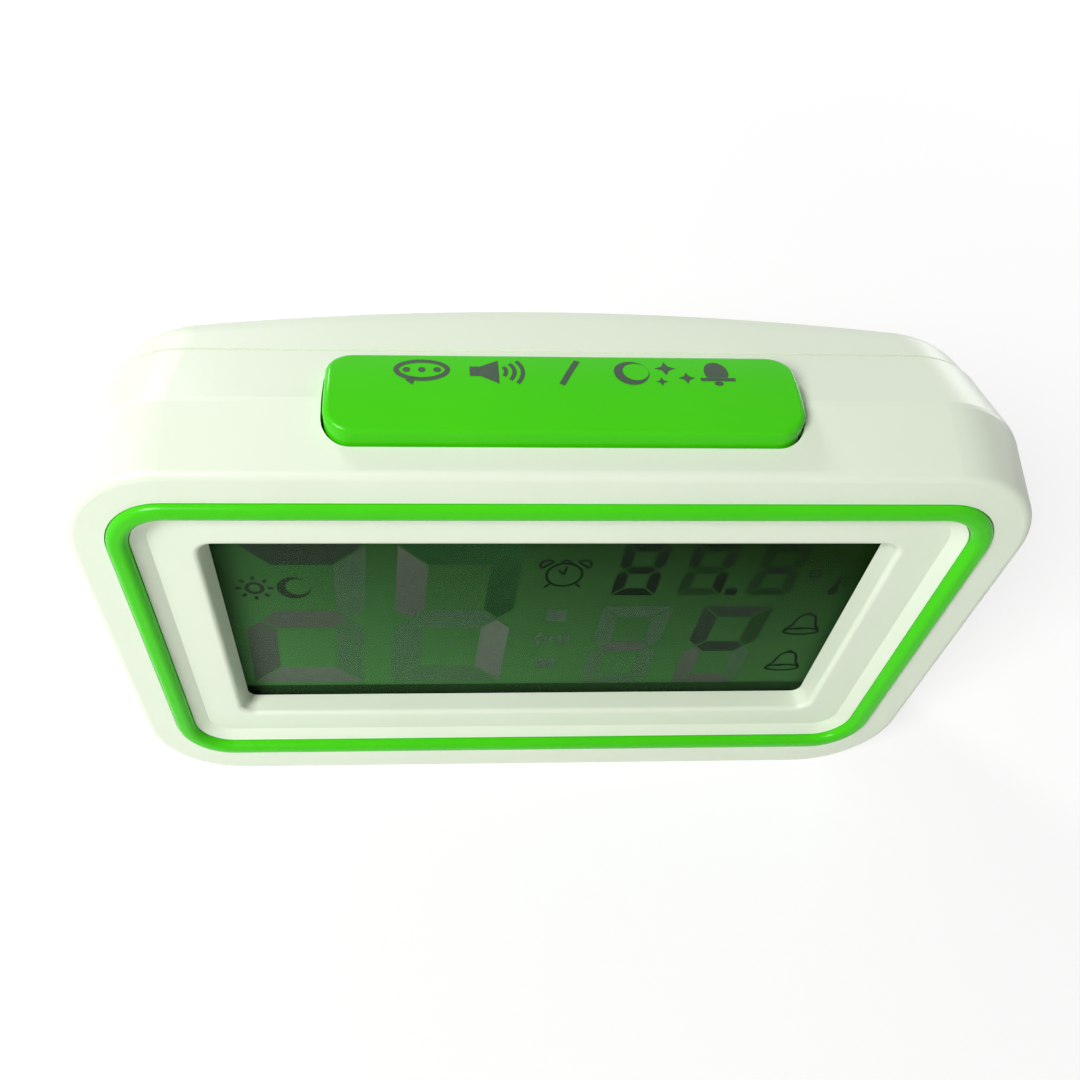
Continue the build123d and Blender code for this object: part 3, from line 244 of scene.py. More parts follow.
def in_relief(material, pattern, rough, spread, relief, strength):
    """Sheen and relief that follow one pattern, as inputs of a shader."""
    ends = {"To Min": rough - spread, "To Max": rough + spread}
    sheen = add_node(material, "ShaderNodeMapRange", {"Value": pattern, **ends})
    depth = {"Strength": strength, "Distance": relief * MM}
    bump = add_node(material, "ShaderNodeBump", {"Height": pattern, **depth})
    return {"Roughness": sheen.outputs["Result"], "Normal": bump.outputs["Normal"]}


def seen_rays(owner):
    """Value that is 1 for what is seen straight, in a gloss or through a sheet, and 0 for lighting."""
    rays = add_node(owner, "ShaderNodeLightPath").outputs
    seen = rays["Is Camera Ray"]
    for kind in ("Is Glossy Ray", "Is Transmission Ray"):
        seen = add_node(owner, "ShaderNodeMath", {0: seen, 1: rays[kind]}, operation="MAXIMUM").outputs[0]
    return seen


def moulded_plastic(name, colour, shade, grain, relief, rough, level=0.5):
    """Moulded, poured or pressed surface: its grain in relief, faint clouding, an uneven sheen."""
    cloud_size = 24.0
    sheen_spread = 0.04
    material, place = blank_material(name)
    grains = {"Scale": cells_per_metre(grain), "Detail": 3.0, "Roughness": 0.6}
    fine = add_node(material, "ShaderNodeTexNoise", {"Vector": place, **grains}).outputs["Fac"]
    cloud = uneven(material, place, cloud_size, 0.0, 1.0)
    tone = add_node(material, "ShaderNodeMix", {"Factor": cloud, "A": colour, "B": shade}, data_type="RGBA")
    inputs = {"Base Color": tone.outputs["Result"], "IOR": 1.53, "Specular IOR Level": level}
    inputs |= in_relief(material, fine, rough, sheen_spread, relief, strength=1.0)
    return finish_material(material, inputs)


def plated_metal(name, colour, rough, streak):
    """Rolled or drawn metal: fine streaks along X in its sheen, and a trace of unevenness."""
    sheen_spread = 0.1
    stretch = (0.08, 1.0, 1.0)
    relief = 0.004
    material, place = blank_material(name)
    drawn = add_node(material, "ShaderNodeMapping", {"Vector": place, "Scale": stretch}).outputs["Vector"]
    lines = {"Vector": drawn, "Scale": cells_per_metre(streak), "Detail": 3.0}
    streaks = add_node(material, "ShaderNodeTexNoise", lines).outputs["Fac"]
    inputs = {"Base Color": colour, "Metallic": 1.0}
    inputs |= in_relief(material, streaks, rough, sheen_spread, relief, strength=0.6)
    return finish_material(material, inputs)


def printed_ink(name, colour, index, cover=1.0):
    """Thin even layer with a faint mottle; an index of 1 leaves out its gloss, as under a lens."""
    mottle_size = 1.4
    material, place = blank_material(name)
    lift = uneven(material, place, mottle_size, 0.9, 1.12)
    tone = add_node(material, "ShaderNodeHueSaturation", {"Color": colour, "Value": lift}).outputs["Color"]
    return finish_material(material, {"Base Color": tone, "Roughness": 0.55, "IOR": index, "Alpha": cover})


def two_tone(name, near, far, axis, border, rough):
    """Plastic sleeve in two colours, which meet at a border along X, Y or Z."""
    scuff_size = 3.0
    sheen_spread = 0.08
    material, place = blank_material(name)
    along = add_node(material, "ShaderNodeSeparateXYZ", {"Vector": place}).outputs[axis]
    side = add_node(material, "ShaderNodeMath", {0: along, 1: border}, operation="GREATER_THAN").outputs[0]
    tone = add_node(material, "ShaderNodeMix", {"Factor": side, "A": near, "B": far}, data_type="RGBA")
    sheen = uneven(material, place, scuff_size, rough - sheen_spread, rough + sheen_spread, detail=4.0)
    return finish_material(material, {"Base Color": tone.outputs["Result"], "Roughness": sheen, "IOR": 1.54})


def clear_sheet(name, tint, cover):
    """Thin clear sheet that hardly covers what is behind it, with a weak gloss."""
    haze_size = 6.0
    material, place = blank_material(name)
    sheen = uneven(material, place, haze_size, 0.04, 0.12, detail=3.0)
    return finish_material(material, {"Base Color": tint, "Roughness": sheen, "IOR": 1.49, "Alpha": cover})


def crystal_cell(name, lit_tone, shaded_tone):
    """Cell of a display, whose tone darkens with height and to the side: painted shade under the window's
    upper edge, and the cell's own tone seen at a slant.
    """
    blur_size = 9.0
    low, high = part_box("lcd_panel")
    # Share of the painted shade, by height and from side to side; the two are added
    by_height = {"From Min": low.z, "From Max": high.z, "To Max": 0.87}
    by_side = {"From Min": low.x, "From Max": high.x, "To Min": -0.075, "To Max": 0.37}
    material, place = blank_material(name)
    parts = add_node(material, "ShaderNodeSeparateXYZ", {"Vector": place}).outputs
    rise = add_node(material, "ShaderNodeMapRange", {"Value": parts["Z"], **by_height}).outputs["Result"]
    side = add_node(material, "ShaderNodeMapRange", {"Value": parts["X"], **by_side}).outputs["Result"]
    share = add_node(material, "ShaderNodeMath", {0: rise, 1: side}, operation="ADD", use_clamp=True)
    tones = {"Factor": share.outputs[0], "A": lit_tone, "B": shaded_tone}
    # Painted shading: the lit lower left tone drifts to the shaded upper right tone
    painted_shading = add_node(material, "ShaderNodeMix", tones, data_type="RGBA").outputs["Result"]
    lift = uneven(material, place, blur_size, 0.94, 1.06)
    tone = add_node(material, "ShaderNodeHueSaturation", {"Color": painted_shading, "Value": lift}).outputs["Color"]
    return finish_material(material, {"Base Color": tone, "Roughness": 0.4, "IOR": UNDER_LENS})


def striped_rubber(name, light, dark, stripe):
    """Rubber in stripes of that width across X."""
    waves_per_scale = 20
    material, place = blank_material(name)
    waves = {"Vector": place, "Scale": cells_per_metre(stripe) / waves_per_scale, "Distortion": 0.0}
    share = add_node(material, "ShaderNodeTexWave", waves).outputs["Fac"]
    tone = add_node(material, "ShaderNodeMix", {"Factor": share, "A": light, "B": dark}, data_type="RGBA")
    return finish_material(material, {"Base Color": tone.outputs["Result"], "Roughness": 0.7})


def tracked_board(name, tile, relief):
    """Board with copper tracks under its mask; the tracks' sizes are shares of the tile."""
    material, place = blank_material(name)
    upright = {"Vector": place, "Rotation": (math.radians(90), 0, 0)}
    rows = {
        "Vector": add_node(material, "ShaderNodeMapping", upright).outputs["Vector"],
        "Color1": linear("#1f6b3a"),
        "Color2": linear("#1b6033"),
        "Mortar": linear("#3f8a4c"),
        "Scale": cells_per_metre(tile),
        "Mortar Size": 0.012,
        "Brick Width": 0.7,
        "Row Height": 0.12,
    }
    tracks = add_node(material, "ShaderNodeTexBrick", rows).outputs
    depth = {"Height": tracks["Fac"], "Strength": 0.5, "Distance": relief * MM}
    bump = add_node(material, "ShaderNodeBump", depth).outputs["Normal"]
    inputs = {"Base Color": tracks["Color"], "Roughness": 0.32, "Normal": bump, "IOR": 1.55}
    return finish_material(material, inputs)


def dress(material, *nodes):
    """Give nodes of the frame a material in every slot."""
    for name in nodes:
        if name not in frame["nodes"]:
            raise RuntimeError(f"the frame has no node named {name}")
        for slot in frame["nodes"][name].material_slots:
            slot.material = material


def mould(name, colour, shade, *nodes, **surface):
    """Dress nodes in a moulded surface of fixed colours."""
    dress(moulded_plastic(name, linear(colour), linear(shade), **surface), *nodes)


def clear_selection():
    """Back to object mode with nothing selected."""
    if bpy.context.object and bpy.context.object.mode != "OBJECT":
        bpy.ops.object.mode_set(mode="OBJECT")
    bpy.ops.object.select_all(action="DESELECT")


def select(*pieces):
    """Select only these pieces, with the first one active."""
    clear_selection()
    for piece in pieces:
        piece.select_set(True)
    bpy.context.view_layer.objects.active = pieces[0]


def edit(piece):
    """Edit mode on one piece, with all of it selected."""
    select(piece)
    bpy.ops.object.mode_set(mode="EDIT")
    bpy.ops.mesh.select_all(action="SELECT")


def spot(x, y):
    """Point or size in a drawing, from millimetres."""
    return Vector((x, y)) * MM


def stretched(width, height):
    """The primitive that was just added, at its width and height."""
    piece = bpy.context.object
    piece.scale = (width, height, 1)
    bpy.ops.object.transform_apply()
    return piece


def plate(centre, width, height, turn=0.0):
    """Flat rectangle in XY."""
    clear_selection()
    bpy.ops.mesh.primitive_plane_add(size=1, location=(*centre, 0), rotation=(0, 0, turn))
    return stretched(width, height)


def field(left, right, low, high):
    """Flat rectangle between four edges."""
    return plate(((left + right) / 2, (low + high) / 2), right - left, high - low)


def oval(centre, width, height, corners=FULL_ROUND, turn=0.0):
    """Flat oval in XY."""
    clear_selection()
    bpy.ops.mesh.primitive_circle_add(
        vertices=corners, radius=0.5, fill_type="NGON", location=(*centre, 0), rotation=(0, 0, turn)
    )
    return stretched(width, height)


def dot(centre, width, corners=FULL_ROUND, turn=0.0):
    """Flat round in XY, or a polygon where it has few corners."""
    return oval(centre, width, width, corners, turn)


def outline(piece, line, shift=(0, 0, 0)):
    """Leave only a line of that width along a flat piece's edge, with its hole shifted."""
    edit(piece)
    bpy.ops.mesh.inset(thickness=line)
    bpy.ops.transform.translate(value=shift)
    bpy.ops.mesh.delete(type="FACE")
    bpy.ops.object.mode_set(mode="OBJECT")
    return piece


def trim(piece, *cuts):
    """Cut a flat piece along lines, each a point and the direction of what goes."""
    edit(piece)
    for point, outward in cuts:
        bpy.ops.mesh.select_all(action="SELECT")
        bpy.ops.mesh.bisect(plane_co=(*point, 0), plane_no=(*outward, 0), clear_outer=True)
    bpy.ops.object.mode_set(mode="OBJECT")
    return piece


def arc(centre, width, line, start, end):
    """Part of a ring between two angles in degrees, less than half a turn apart."""
    ring = outline(dot(centre, width), line)
    first, last = math.radians(start), math.radians(end)
    before = (math.sin(first), -math.cos(first))
    after = (-math.sin(last), math.cos(last))
    return trim(ring, (centre, before), (centre, after))


def stroke(start, end, line):
    """Straight line of that width from start to end."""
    run = Vector(end) - Vector(start)
    centre = (Vector(start) + Vector(end)) / 2
    return plate(centre, run.length, line, math.atan2(run.y, run.x))


def crescent(centre, width):
    """A moon: a disc with its hole moved to one side."""
    ring_share = 0.13
    hole_shift = Vector((0.123, 0.051, 0))
    return outline(dot(centre, width), width * ring_share, hole_shift * width)


def plain_bell(x, mouth, dome, rim, clapper):
    """A dome cut off at its mouth, a rim and a clapper: each a level and a size in millimetres."""
    places = [spot(x, part[0]) for part in (dome, rim, clapper)]
    sizes = [spot(*part[1:]) for part in (dome, rim, clapper)]
    return [
        trim(oval(places[0], *sizes[0]), (spot(x, mouth), (0, -1))),
        plate(places[1], *sizes[1]),
        oval(places[2], *sizes[2], TINY_ROUND),
    ]


def copied(piece, shift):
    """Copy of a piece with its own mesh, moved in XY."""
    select(piece)
    bpy.ops.object.duplicate()
    copy = bpy.context.object
    copy.location = (*shift, 0)
    bpy.ops.object.transform_apply()
    return copy


def joined(pieces):
    """Several pieces as one."""
    select(*pieces)
    if len(pieces) > 1:
        bpy.ops.object.join()
    return bpy.context.object


def removed(pieces):
    """Delete pieces that were only copied from."""
    select(*pieces)
    bpy.ops.object.delete()


def applied(piece, kind, **settings):
    """Add a modifier, set it and apply it."""
    select(piece)
    modifier = piece.modifiers.new(kind.lower(), kind)
    for name, value in settings.items():
        setattr(modifier, name, value)
    bpy.ops.object.modifier_apply(modifier=modifier.name)


def film(pieces, thickness, offset=1.0):
    """Several flat pieces as one layer of that thickness."""
    layer = joined(pieces)
    applied(layer, "SOLIDIFY", thickness=thickness, offset=offset)
    return layer


def settled(piece, name, place, material, body):
    """Put a finished drawing in its place on the clock, and let it ride on a body."""
    select(piece)
    piece.matrix_world = place
    bpy.ops.object.transform_apply()
    piece.name = name
    piece.data.materials.clear()
    piece.data.materials.append(material)
    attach(piece, body)
    return piece


def on_display(depth):
    """Place of a drawing behind the lens, facing out."""
    return FACE @ Matrix.Translation((0, depth, 0)) @ TO_FRONT


# For each segment: the place of its middle, in half figures, and the mitres at its ends.
# A mitre is a corner or side joint, in half figures, and the direction of what is cut away.
SEGMENTS = {
    "a": ((0, 1), (((-1, 1), (-1, -1)), ((1, 1), (1, -1)))),
    "b": ((1, 0.5), (((1, 1), (-1, 1)), ((1, 0), (-1, -1)), ((1, 0), (1, -1)))),
    "c": ((1, -0.5), (((1, -1), (-1, -1)), ((1, 0), (-1, 1)), ((1, 0), (1, 1)))),
    "d": ((0, -1), (((-1, -1), (-1, 1)), ((1, -1), (1, 1)))),
    "e": ((-1, -0.5), (((-1, -1), (1, -1)), ((-1, 0), (1, 1)), ((-1, 0), (-1, 1)))),
    "f": ((-1, 0.5), (((-1, 1), (1, 1)), ((-1, 0), (1, -1)), ((-1, 0), (-1, -1)))),
    "g": ((0, 0), (((-1, 0), (-1, 1)), ((-1, 0), (-1, -1)), ((1, 0), (1, 1)), ((1, 0), (1, -1)))),
}


def draw_figure(width, height, line, gap, slant):
    """The seven segments of one figure, each a flat piece."""
    half_width, half_height = width / 2, height / 2
    # A side joint lies in the middle of its stroke, a corner at the figure's edge.
    side = half_width - line / 2
    lean = Matrix.Identity(4)
    lean[0][1] = slant
    pieces = {}
    for letter, ((across, along), mitres) in SEGMENTS.items():
        if across:
            piece = plate((across * side, along * half_height), line, half_height)
        else:
            piece = plate((0, along * (half_height - line / 2)), width, line)
        cuts = []
        for (x, y), way in mitres:
            joint = Vector((x * (half_width if y else side), y * half_height))
            outward = Vector(way).normalized()
            cuts.append((joint - outward * gap / 2, outward))
        trim(piece, *cuts)
        piece.data.transform(lean)
        pieces[letter] = piece
    return pieces


class CLOCK_OT_case(bpy.types.Operator):
    """Give the shells and the battery door their satin plastic"""

    bl_idname = "clock.case"
    bl_label = "Case"

    def execute(self, context):
        finish = context.scene.clock.finish
        # ABS from a spark-eroded mould: white with a faint green cast, a fine even grain, a satin sheen
        surface = {"grain": 0.45, "relief": 0.012, "rough": 0.38}
        satin = moulded_plastic("ABS_satin_moulded", finish.case, finish.case_shade, **surface)
        dress(satin, "front_shell", "rear_shell", "battery_door")
        return {"FINISHED"}


class CLOCK_OT_trim(bpy.types.Operator):
    """Give the ring, the push bar and the keys their glossy plastic"""

    bl_idname = "clock.trim"
    bl_label = "Trim"

    def execute(self, context):
        finish = context.scene.clock.finish
        # ABS from a polished mould: clear lime green, smooth highlights, a trace of orange peel
        surface = {"grain": 2.2, "relief": 0.006, "rough": 0.24, "level": 0.16}
        gloss = moulded_plastic("ABS_gloss_moulded", finish.trim, finish.trim_shade, **surface)
        dress(gloss, "trim_ring", "snooze_bar", "mode_key", "set_key", "up_key", "down_key")
        return {"FINISHED"}


class CLOCK_OT_display(bpy.types.Operator):
    """Finish the lens, the liquid crystal cell and what holds them"""

    bl_idname = "clock.display"
    bl_label = "Display"

    def execute(self, context):
        finish = context.scene.clock.finish
        # Acrylic sheet with an anti-glare coat: nearly invisible, a faint smoky tint, a weak clear gloss
        dress(clear_sheet("Acrylic_sheet_coated", linear("#10160f"), cover=0.05), "display_lens")
        # Twisted nematic cell under a green polariser: its tone drifts with height and to the side, as
        # painted shade under the window's upper edge and as the cell's own tone seen at a slant
        cell = crystal_cell("Glass_liquid_crystal_cell", finish.display_lit_lower_left, finish.display_shaded_upper_right)
        dress(cell, "lcd_panel")
        # Polyester film with a metal skin: bright, brushed and matt
        skin = plated_metal("Polyester_metallised_film", linear("#c9ccc4"), rough=0.45, streak=0.3)
        dress(skin, "lcd_reflector")
        # Polystyrene: milky white, slightly grainy
        mould("Polystyrene_moulded", "#dedfd6", "#d2d4c8", "lcd_carrier", grain=0.6, relief=0.015, rough=0.42)
        # Silicone rubber with conducting layers: pink and black stripes, coarser than real ones
        zebra = striped_rubber("Silicone_striped", linear("#d59a9a"), linear("#2a2526"), stripe=0.6)
        dress(zebra, "zebra_strip")
        return {"FINISHED"}


class CLOCK_OT_figures(bpy.types.Operator):
    """Draw the hour, the minutes and the temperature in segments, and a dark border of painted shade round
    them
    """

    bl_idname = "clock.figures"
    bl_label = "Figures"

    # Tone of each visible segment: k black, m dark, d deep, s slate, p pale, f faint, v veil
    hours = (
        (spot(-37.3, -1.15), "a:m b:f c:f d:p e:s g:s"),
        (spot(-13.7, -1.15), "a:d b:d c:p d:f e:f f:s g:f"),
    )
    minutes = (
        (spot(15.5, -9.25), "a:f b:f c:f d:f e:f f:f g:s"),
        (spot(31.9, -9.25), "a:m b:v c:f d:s e:s f:m g:m"),
    )
    degrees = (
        (spot(14.8, 11.15), "a:k b:k c:k d:k e:k f:k g:k"),
        (spot(25.3, 11.15), "a:v b:k c:k d:v e:v f:k g:v"),
        (spot(36.3, 11.15), "a:v b:v c:v d:v e:v f:v g:k"),
    )
    faint_cover = 0.13
    veil_cover = 0.18

    def border(self, sizes):
        """Three bars of painted shade: below the figures, to their left and to their right."""
        end, top = sizes.border[0] / 2, sizes.border[1] / 2
        left, right, bottom = sizes.inner
        return [
            field(-end, end, -top, bottom),
            field(-end, left, bottom, top),
            field(right, end, bottom, top),
        ]

    def execute(self, context):
        finish = context.scene.clock.finish
        sizes = context.scene.clock.figures
        tones = {
            "k": ("figures_black", finish.ink_black, 1.0),
            "m": ("figures_dark", finish.ink_dark, 1.0),
            "d": ("figures_deep", finish.ink_deep, 1.0),
            "s": ("figures_slate", finish.ink_slate, 1.0),
            "p": ("figures_pale", finish.ink_pale, 1.0),
            "f": ("figures_faint", finish.ink_faint, self.faint_cover),
            "v": ("figures_veil", finish.ink_black, self.veil_cover),
        }
        rows = ((self.hours, sizes.large), (self.minutes, sizes.medium), (self.degrees, sizes.small))
        groups = {key: [] for key in tones}
        for figures, size in rows:
            pattern = draw_figure(*size, sizes.gap, sizes.slant)
            for place, shown in figures:
                for entry in shown.split():
                    letter, key = entry.split(":")
                    groups[key].append(copied(pattern[letter], place))
            removed(pattern.values())
        for key, pieces in groups.items():
            name, colour, cover = tones[key]
            # Segments of the cell: sharp flat shapes with a soft mottle
            tone = printed_ink("Liquid_crystal_" + name, colour, UNDER_LENS, cover)
            settled(film(pieces, sizes.film), name, on_display(FIGURE_DEPTH), tone, "case")
        # A dark dull film on the glass, painted shade of the window's edge on the recessed cell, which shows
        # at a slant past that edge
        edge = printed_ink("Ink_black_on_glass", finish.mask, UNDER_LENS)
        border = film(self.border(sizes), sizes.film)
        settled(border, "display_border", on_display(SHADE_BORDER_DEPTH), edge, "case")
        return {"FINISHED"}


class CLOCK_OT_display_signs(bpy.types.Operator):
    """Draw the display's small signs, its colon and its point"""

    bl_idname = "clock.display_signs"
    bl_label = "Display signs"

    clock_place = spot(3.1, 10.1)
    sun_place = spot(-44.3, 7.0)
    moon_place = spot(-38.3, 7.0)
    day_line = 0.6 * MM
    sound_place = spot(2.9, -6.9)
    sound_line = 0.7 * MM
    heat_place = spot(47.0, 7.3)
    bell_places = (spot(44.6, -3.0), spot(44.6, -13.9))
    colon_places = (spot(3.0, -0.4), spot(2.5, -14.2))
    colon_size = spot(3.2, 3.0)
    colon_cover = 0.2
    point_place = spot(30.1, 5.8)
    point_size = spot(1.9, 1.7)
    degree_place = spot(42.3, 10.2)
    degree_width = 2.1 * MM

    def alarm_clock(self, line):
        """A round dial with hands, two gongs, a knob and two feet."""
        at = self.clock_place
        dial, knob, gong, chord = 5.9 * MM, 1.6 * MM, 2.7 * MM, 1.2 * MM
        gong_lean, gong_spread = 42, 86
        pieces = [outline(dot(at, dial), line), arc(at + spot(0, 2.9), knob, line, 5, 175)]
        for tip in (spot(0.2, 1.9), spot(-1.0, 1.2)):
            pieces.append(stroke(at, at + tip, line))
        for side in (-1, 1):
            centre = at + spot(side * 2.75, 2.35)
            facing = 90 - side * gong_lean
            lean = math.radians(facing)
            end = Vector((math.sin(lean), -math.cos(lean))) * chord
            pieces.append(arc(centre, gong, line, facing - gong_spread, facing + gong_spread))
            pieces.append(stroke(centre - end, centre + end, line))
            pieces.append(stroke(at + spot(side * 2.1, -2.2), at + spot(side * 2.8, -3.1), line))
        return pieces

    def half_day(self, line):
        """A sun with its rays beside a crescent moon."""
        at = self.sun_place
        sun, moon, rays, ray_start, ray_end = 3.0 * MM, 5.2 * MM, 8, 2.0 * MM, 2.9 * MM
        pieces = [outline(dot(at, sun), line), crescent(self.moon_place, moon)]
        for step in range(rays):
            angle = step * math.tau / rays
            way = Vector((math.cos(angle), math.sin(angle)))
            pieces.append(stroke(at + way * ray_start, at + way * ray_end, line))
        return pieces

    def sound(self, line):
        """A dot with two sound waves on each side."""
        at = self.sound_place
        source, waves, spread = 1.3 * MM, (3.4 * MM, 5.8 * MM), 42
        pieces = [dot(at, source, SMALL_ROUND)]
        for width in waves:
            for facing in (0, 180):
                pieces.append(arc(at, width, line, facing - spread, facing + spread))
        return pieces

    def thermometer(self, line):
        """A bulb with its stem and three marks."""
        at = self.heat_place
        bulb, stem, stem_slant, mark_rises = 1.8 * MM, 0.8 * MM, 0.07, (0.1, 1.0, 1.9)
        pieces = [dot(at + spot(-0.5, -1.5), bulb, BULB_ROUND)]
        pieces.append(stroke(at + spot(-0.5, -0.7), at + spot(-0.3, 2.2), stem))
        for rise in mark_rises:
            mark = at + spot(0.4 + rise * stem_slant, rise)
            pieces.append(stroke(mark, mark + spot(0.9, 0), line))
        return pieces

    def bell(self, line):
        """A hand bell: dome, flared sides, an oval mouth, a crown and its clapper."""
        dome, mouth, crown, clapper = 3.6 * MM, spot(6.4, 2.2), spot(0.9, 0.7), spot(1.5, 0.7)
        pieces = [
            outline(oval(spot(0, -2.0), *mouth), line),
            arc(spot(0, 1.1), dome, line, 0, 179),
            oval(spot(0, 3.0), *crown, TINY_ROUND),
            oval(spot(-0.7, -1.3), *clapper, SMALL_ROUND),
        ]
        for side in (-1, 1):
            pieces.append(stroke(spot(side * 1.65, 1.2), spot(side * 1.95, -0.4), line))
            pieces.append(stroke(spot(side * 1.9, -0.3), spot(side * 2.85, -1.5), line))
        return joined(pieces)

    def execute(self, context):
        finish = context.scene.clock.finish
        sizes = context.scene.clock.figures
        line = sizes.sign_line
        place = on_display(FIGURE_DEPTH)
        lines = self.alarm_clock(line)
        pattern = self.bell(line)
        lines += [copied(pattern, at) for at in self.bell_places]
        removed([pattern])
        lines.append(outline(dot(self.degree_place, self.degree_width), line))
        lines.append(plate(self.point_place, *self.point_size))
        lines += self.thermometer(line)
        # Segments that are switched on: thin black lines in the cell
        black = printed_ink("Liquid_crystal_lines", finish.ink_black, UNDER_LENS)
        settled(film(lines, sizes.film), "display_signs", place, black, "case")

        # Large sign that is switched on: seen from above, it is no longer quite black
        dark = printed_ink("Liquid_crystal_half_day", finish.ink_dark, UNDER_LENS)
        day = film(self.half_day(self.day_line), sizes.film)
        settled(day, "display_half_day", place, dark, "case")

        # Segments that are switched off: just paler than the cell
        pale = printed_ink("Liquid_crystal_colon", finish.ink_faint, UNDER_LENS, self.colon_cover)
        dots = [plate(at, *self.colon_size) for at in self.colon_places]
        colon = film(dots + self.sound(self.sound_line), sizes.film)
        settled(colon, "display_colon", place, pale, "case")
        return {"FINISHED"}


class CLOCK_OT_bar_signs(bpy.types.Operator):
    """Print a speech bubble, a loudspeaker, a slash, a night sign and a bell on the push bar"""

    bl_idname = "clock.bar_signs"
    bl_label = "Push bar signs"

    # The row's depth behind the face, and the height from which it is laid on the bar
    depth = 13.6 * MM
    above = 60.0 * MM
    # The print's height over the plastic, and its thickness
    lift = 0.03 * MM
    thickness = 0.02 * MM

    # Places of the signs along the bar, in millimetres
    bubble_x = -18.6
    speaker_x = -9.0
    moon_x = 9.0
    bell_x = 20.3
    bell = {"mouth": -0.9, "dome": (0.2, 3.2, 4.2), "rim": (-1.25, 4.6, 0.6), "clapper": (-2.0, 1.2, 0.8)}
    slash_start = spot(-0.4, -2.4)
    slash_end = spot(2.0, 2.4)
    slash_line = 0.8 * MM

    def bubble(self, x):
        """A speech bubble with three dots and a tail."""
        size, line, tail, tail_turn = spot(7.4, 4.4), 0.7 * MM, 1.6 * MM, math.radians(200)
        point, step = 1.0 * MM, 2.0
        pieces = [outline(oval(spot(x, 0.25), *size), line)]
        pieces.append(dot(spot(x - 1.4, -1.9), tail, TRIANGLE, tail_turn))
        for side in (-1, 0, 1):
            pieces.append(dot(spot(x + side * step, 0.25), point, SMALL_ROUND))
        return pieces

    def speaker(self, x):
        """A loudspeaker with three sound waves."""
        at = spot(x, 0)
        back, horn, horn_turn = spot(1.3, 1.9), 5.4 * MM, math.radians(90)
        waves, spread, line = (3.4 * MM, 5.6 * MM, 7.8 * MM), 38, 0.55 * MM
        cone = dot(at + spot(-0.9, 0), horn, TRIANGLE, horn_turn)
        trim(cone, (at + spot(-2.0, 0), (-1, 0)))
        pieces = [plate(at + spot(-2.7, 0), *back), cone]
        return pieces + [arc(at, width, line, -spread, spread) for width in waves]

    def star(self, centre, width):
        """A four-pointed star: an octagon with every second corner drawn in."""
        waist = 0.42
        piece = dot(centre, width, OCTAGON)
        heart = Vector((*centre, 0))
        for vertex in list(piece.data.vertices)[1::2]:
            vertex.co = heart.lerp(vertex.co, waist)
        return piece

    def night(self, x):
        """A crescent moon and three stars, each from its place beside the moon and its width."""
        moon, stars = 4.7 * MM, ((4.6, 0.9, 2.8), (7.2, -1.0, 2.2), (3.8, -1.7, 1.6))
        pieces = [crescent(spot(x, 0), moon)]
        for across, up, width in stars:
            pieces.append(self.star(spot(x + across, up), width * MM))
        return pieces

    def execute(self, context):
        pieces = self.speaker(self.speaker_x) + self.bubble(self.bubble_x)
        pieces.append(stroke(self.slash_start, self.slash_end, self.slash_line))
        pieces += self.night(self.moon_x) + plain_bell(self.bell_x, **self.bell)
        signs = joined(pieces)
        # Cut fine enough to follow the bar's curve, then laid on it
        applied(signs, "TRIANGULATE")
        applied(signs, "SUBSURF", subdivision_type="SIMPLE", levels=2, render_levels=2)
        place = FACE @ Matrix.Translation((0, self.depth, self.above))
        signs.matrix_world = place
        bar = frame["nodes"]["snooze_bar"]
        down = {"use_project_z": True, "use_negative_direction": True, "use_positive_direction": False}
        applied(signs, "SHRINKWRAP", target=bar, wrap_method="PROJECT", offset=self.lift, **down)
        applied(signs, "SOLIDIFY", thickness=self.thickness, offset=1.0)
        # Pad print: a thin dark green film with a soft gloss
        ink = printed_ink("Ink_pad_printed", context.scene.clock.finish.print_ink, IN_AIR)
        settled(signs, "bar_signs", place, ink, "snooze_bar")
        return {"FINISHED"}


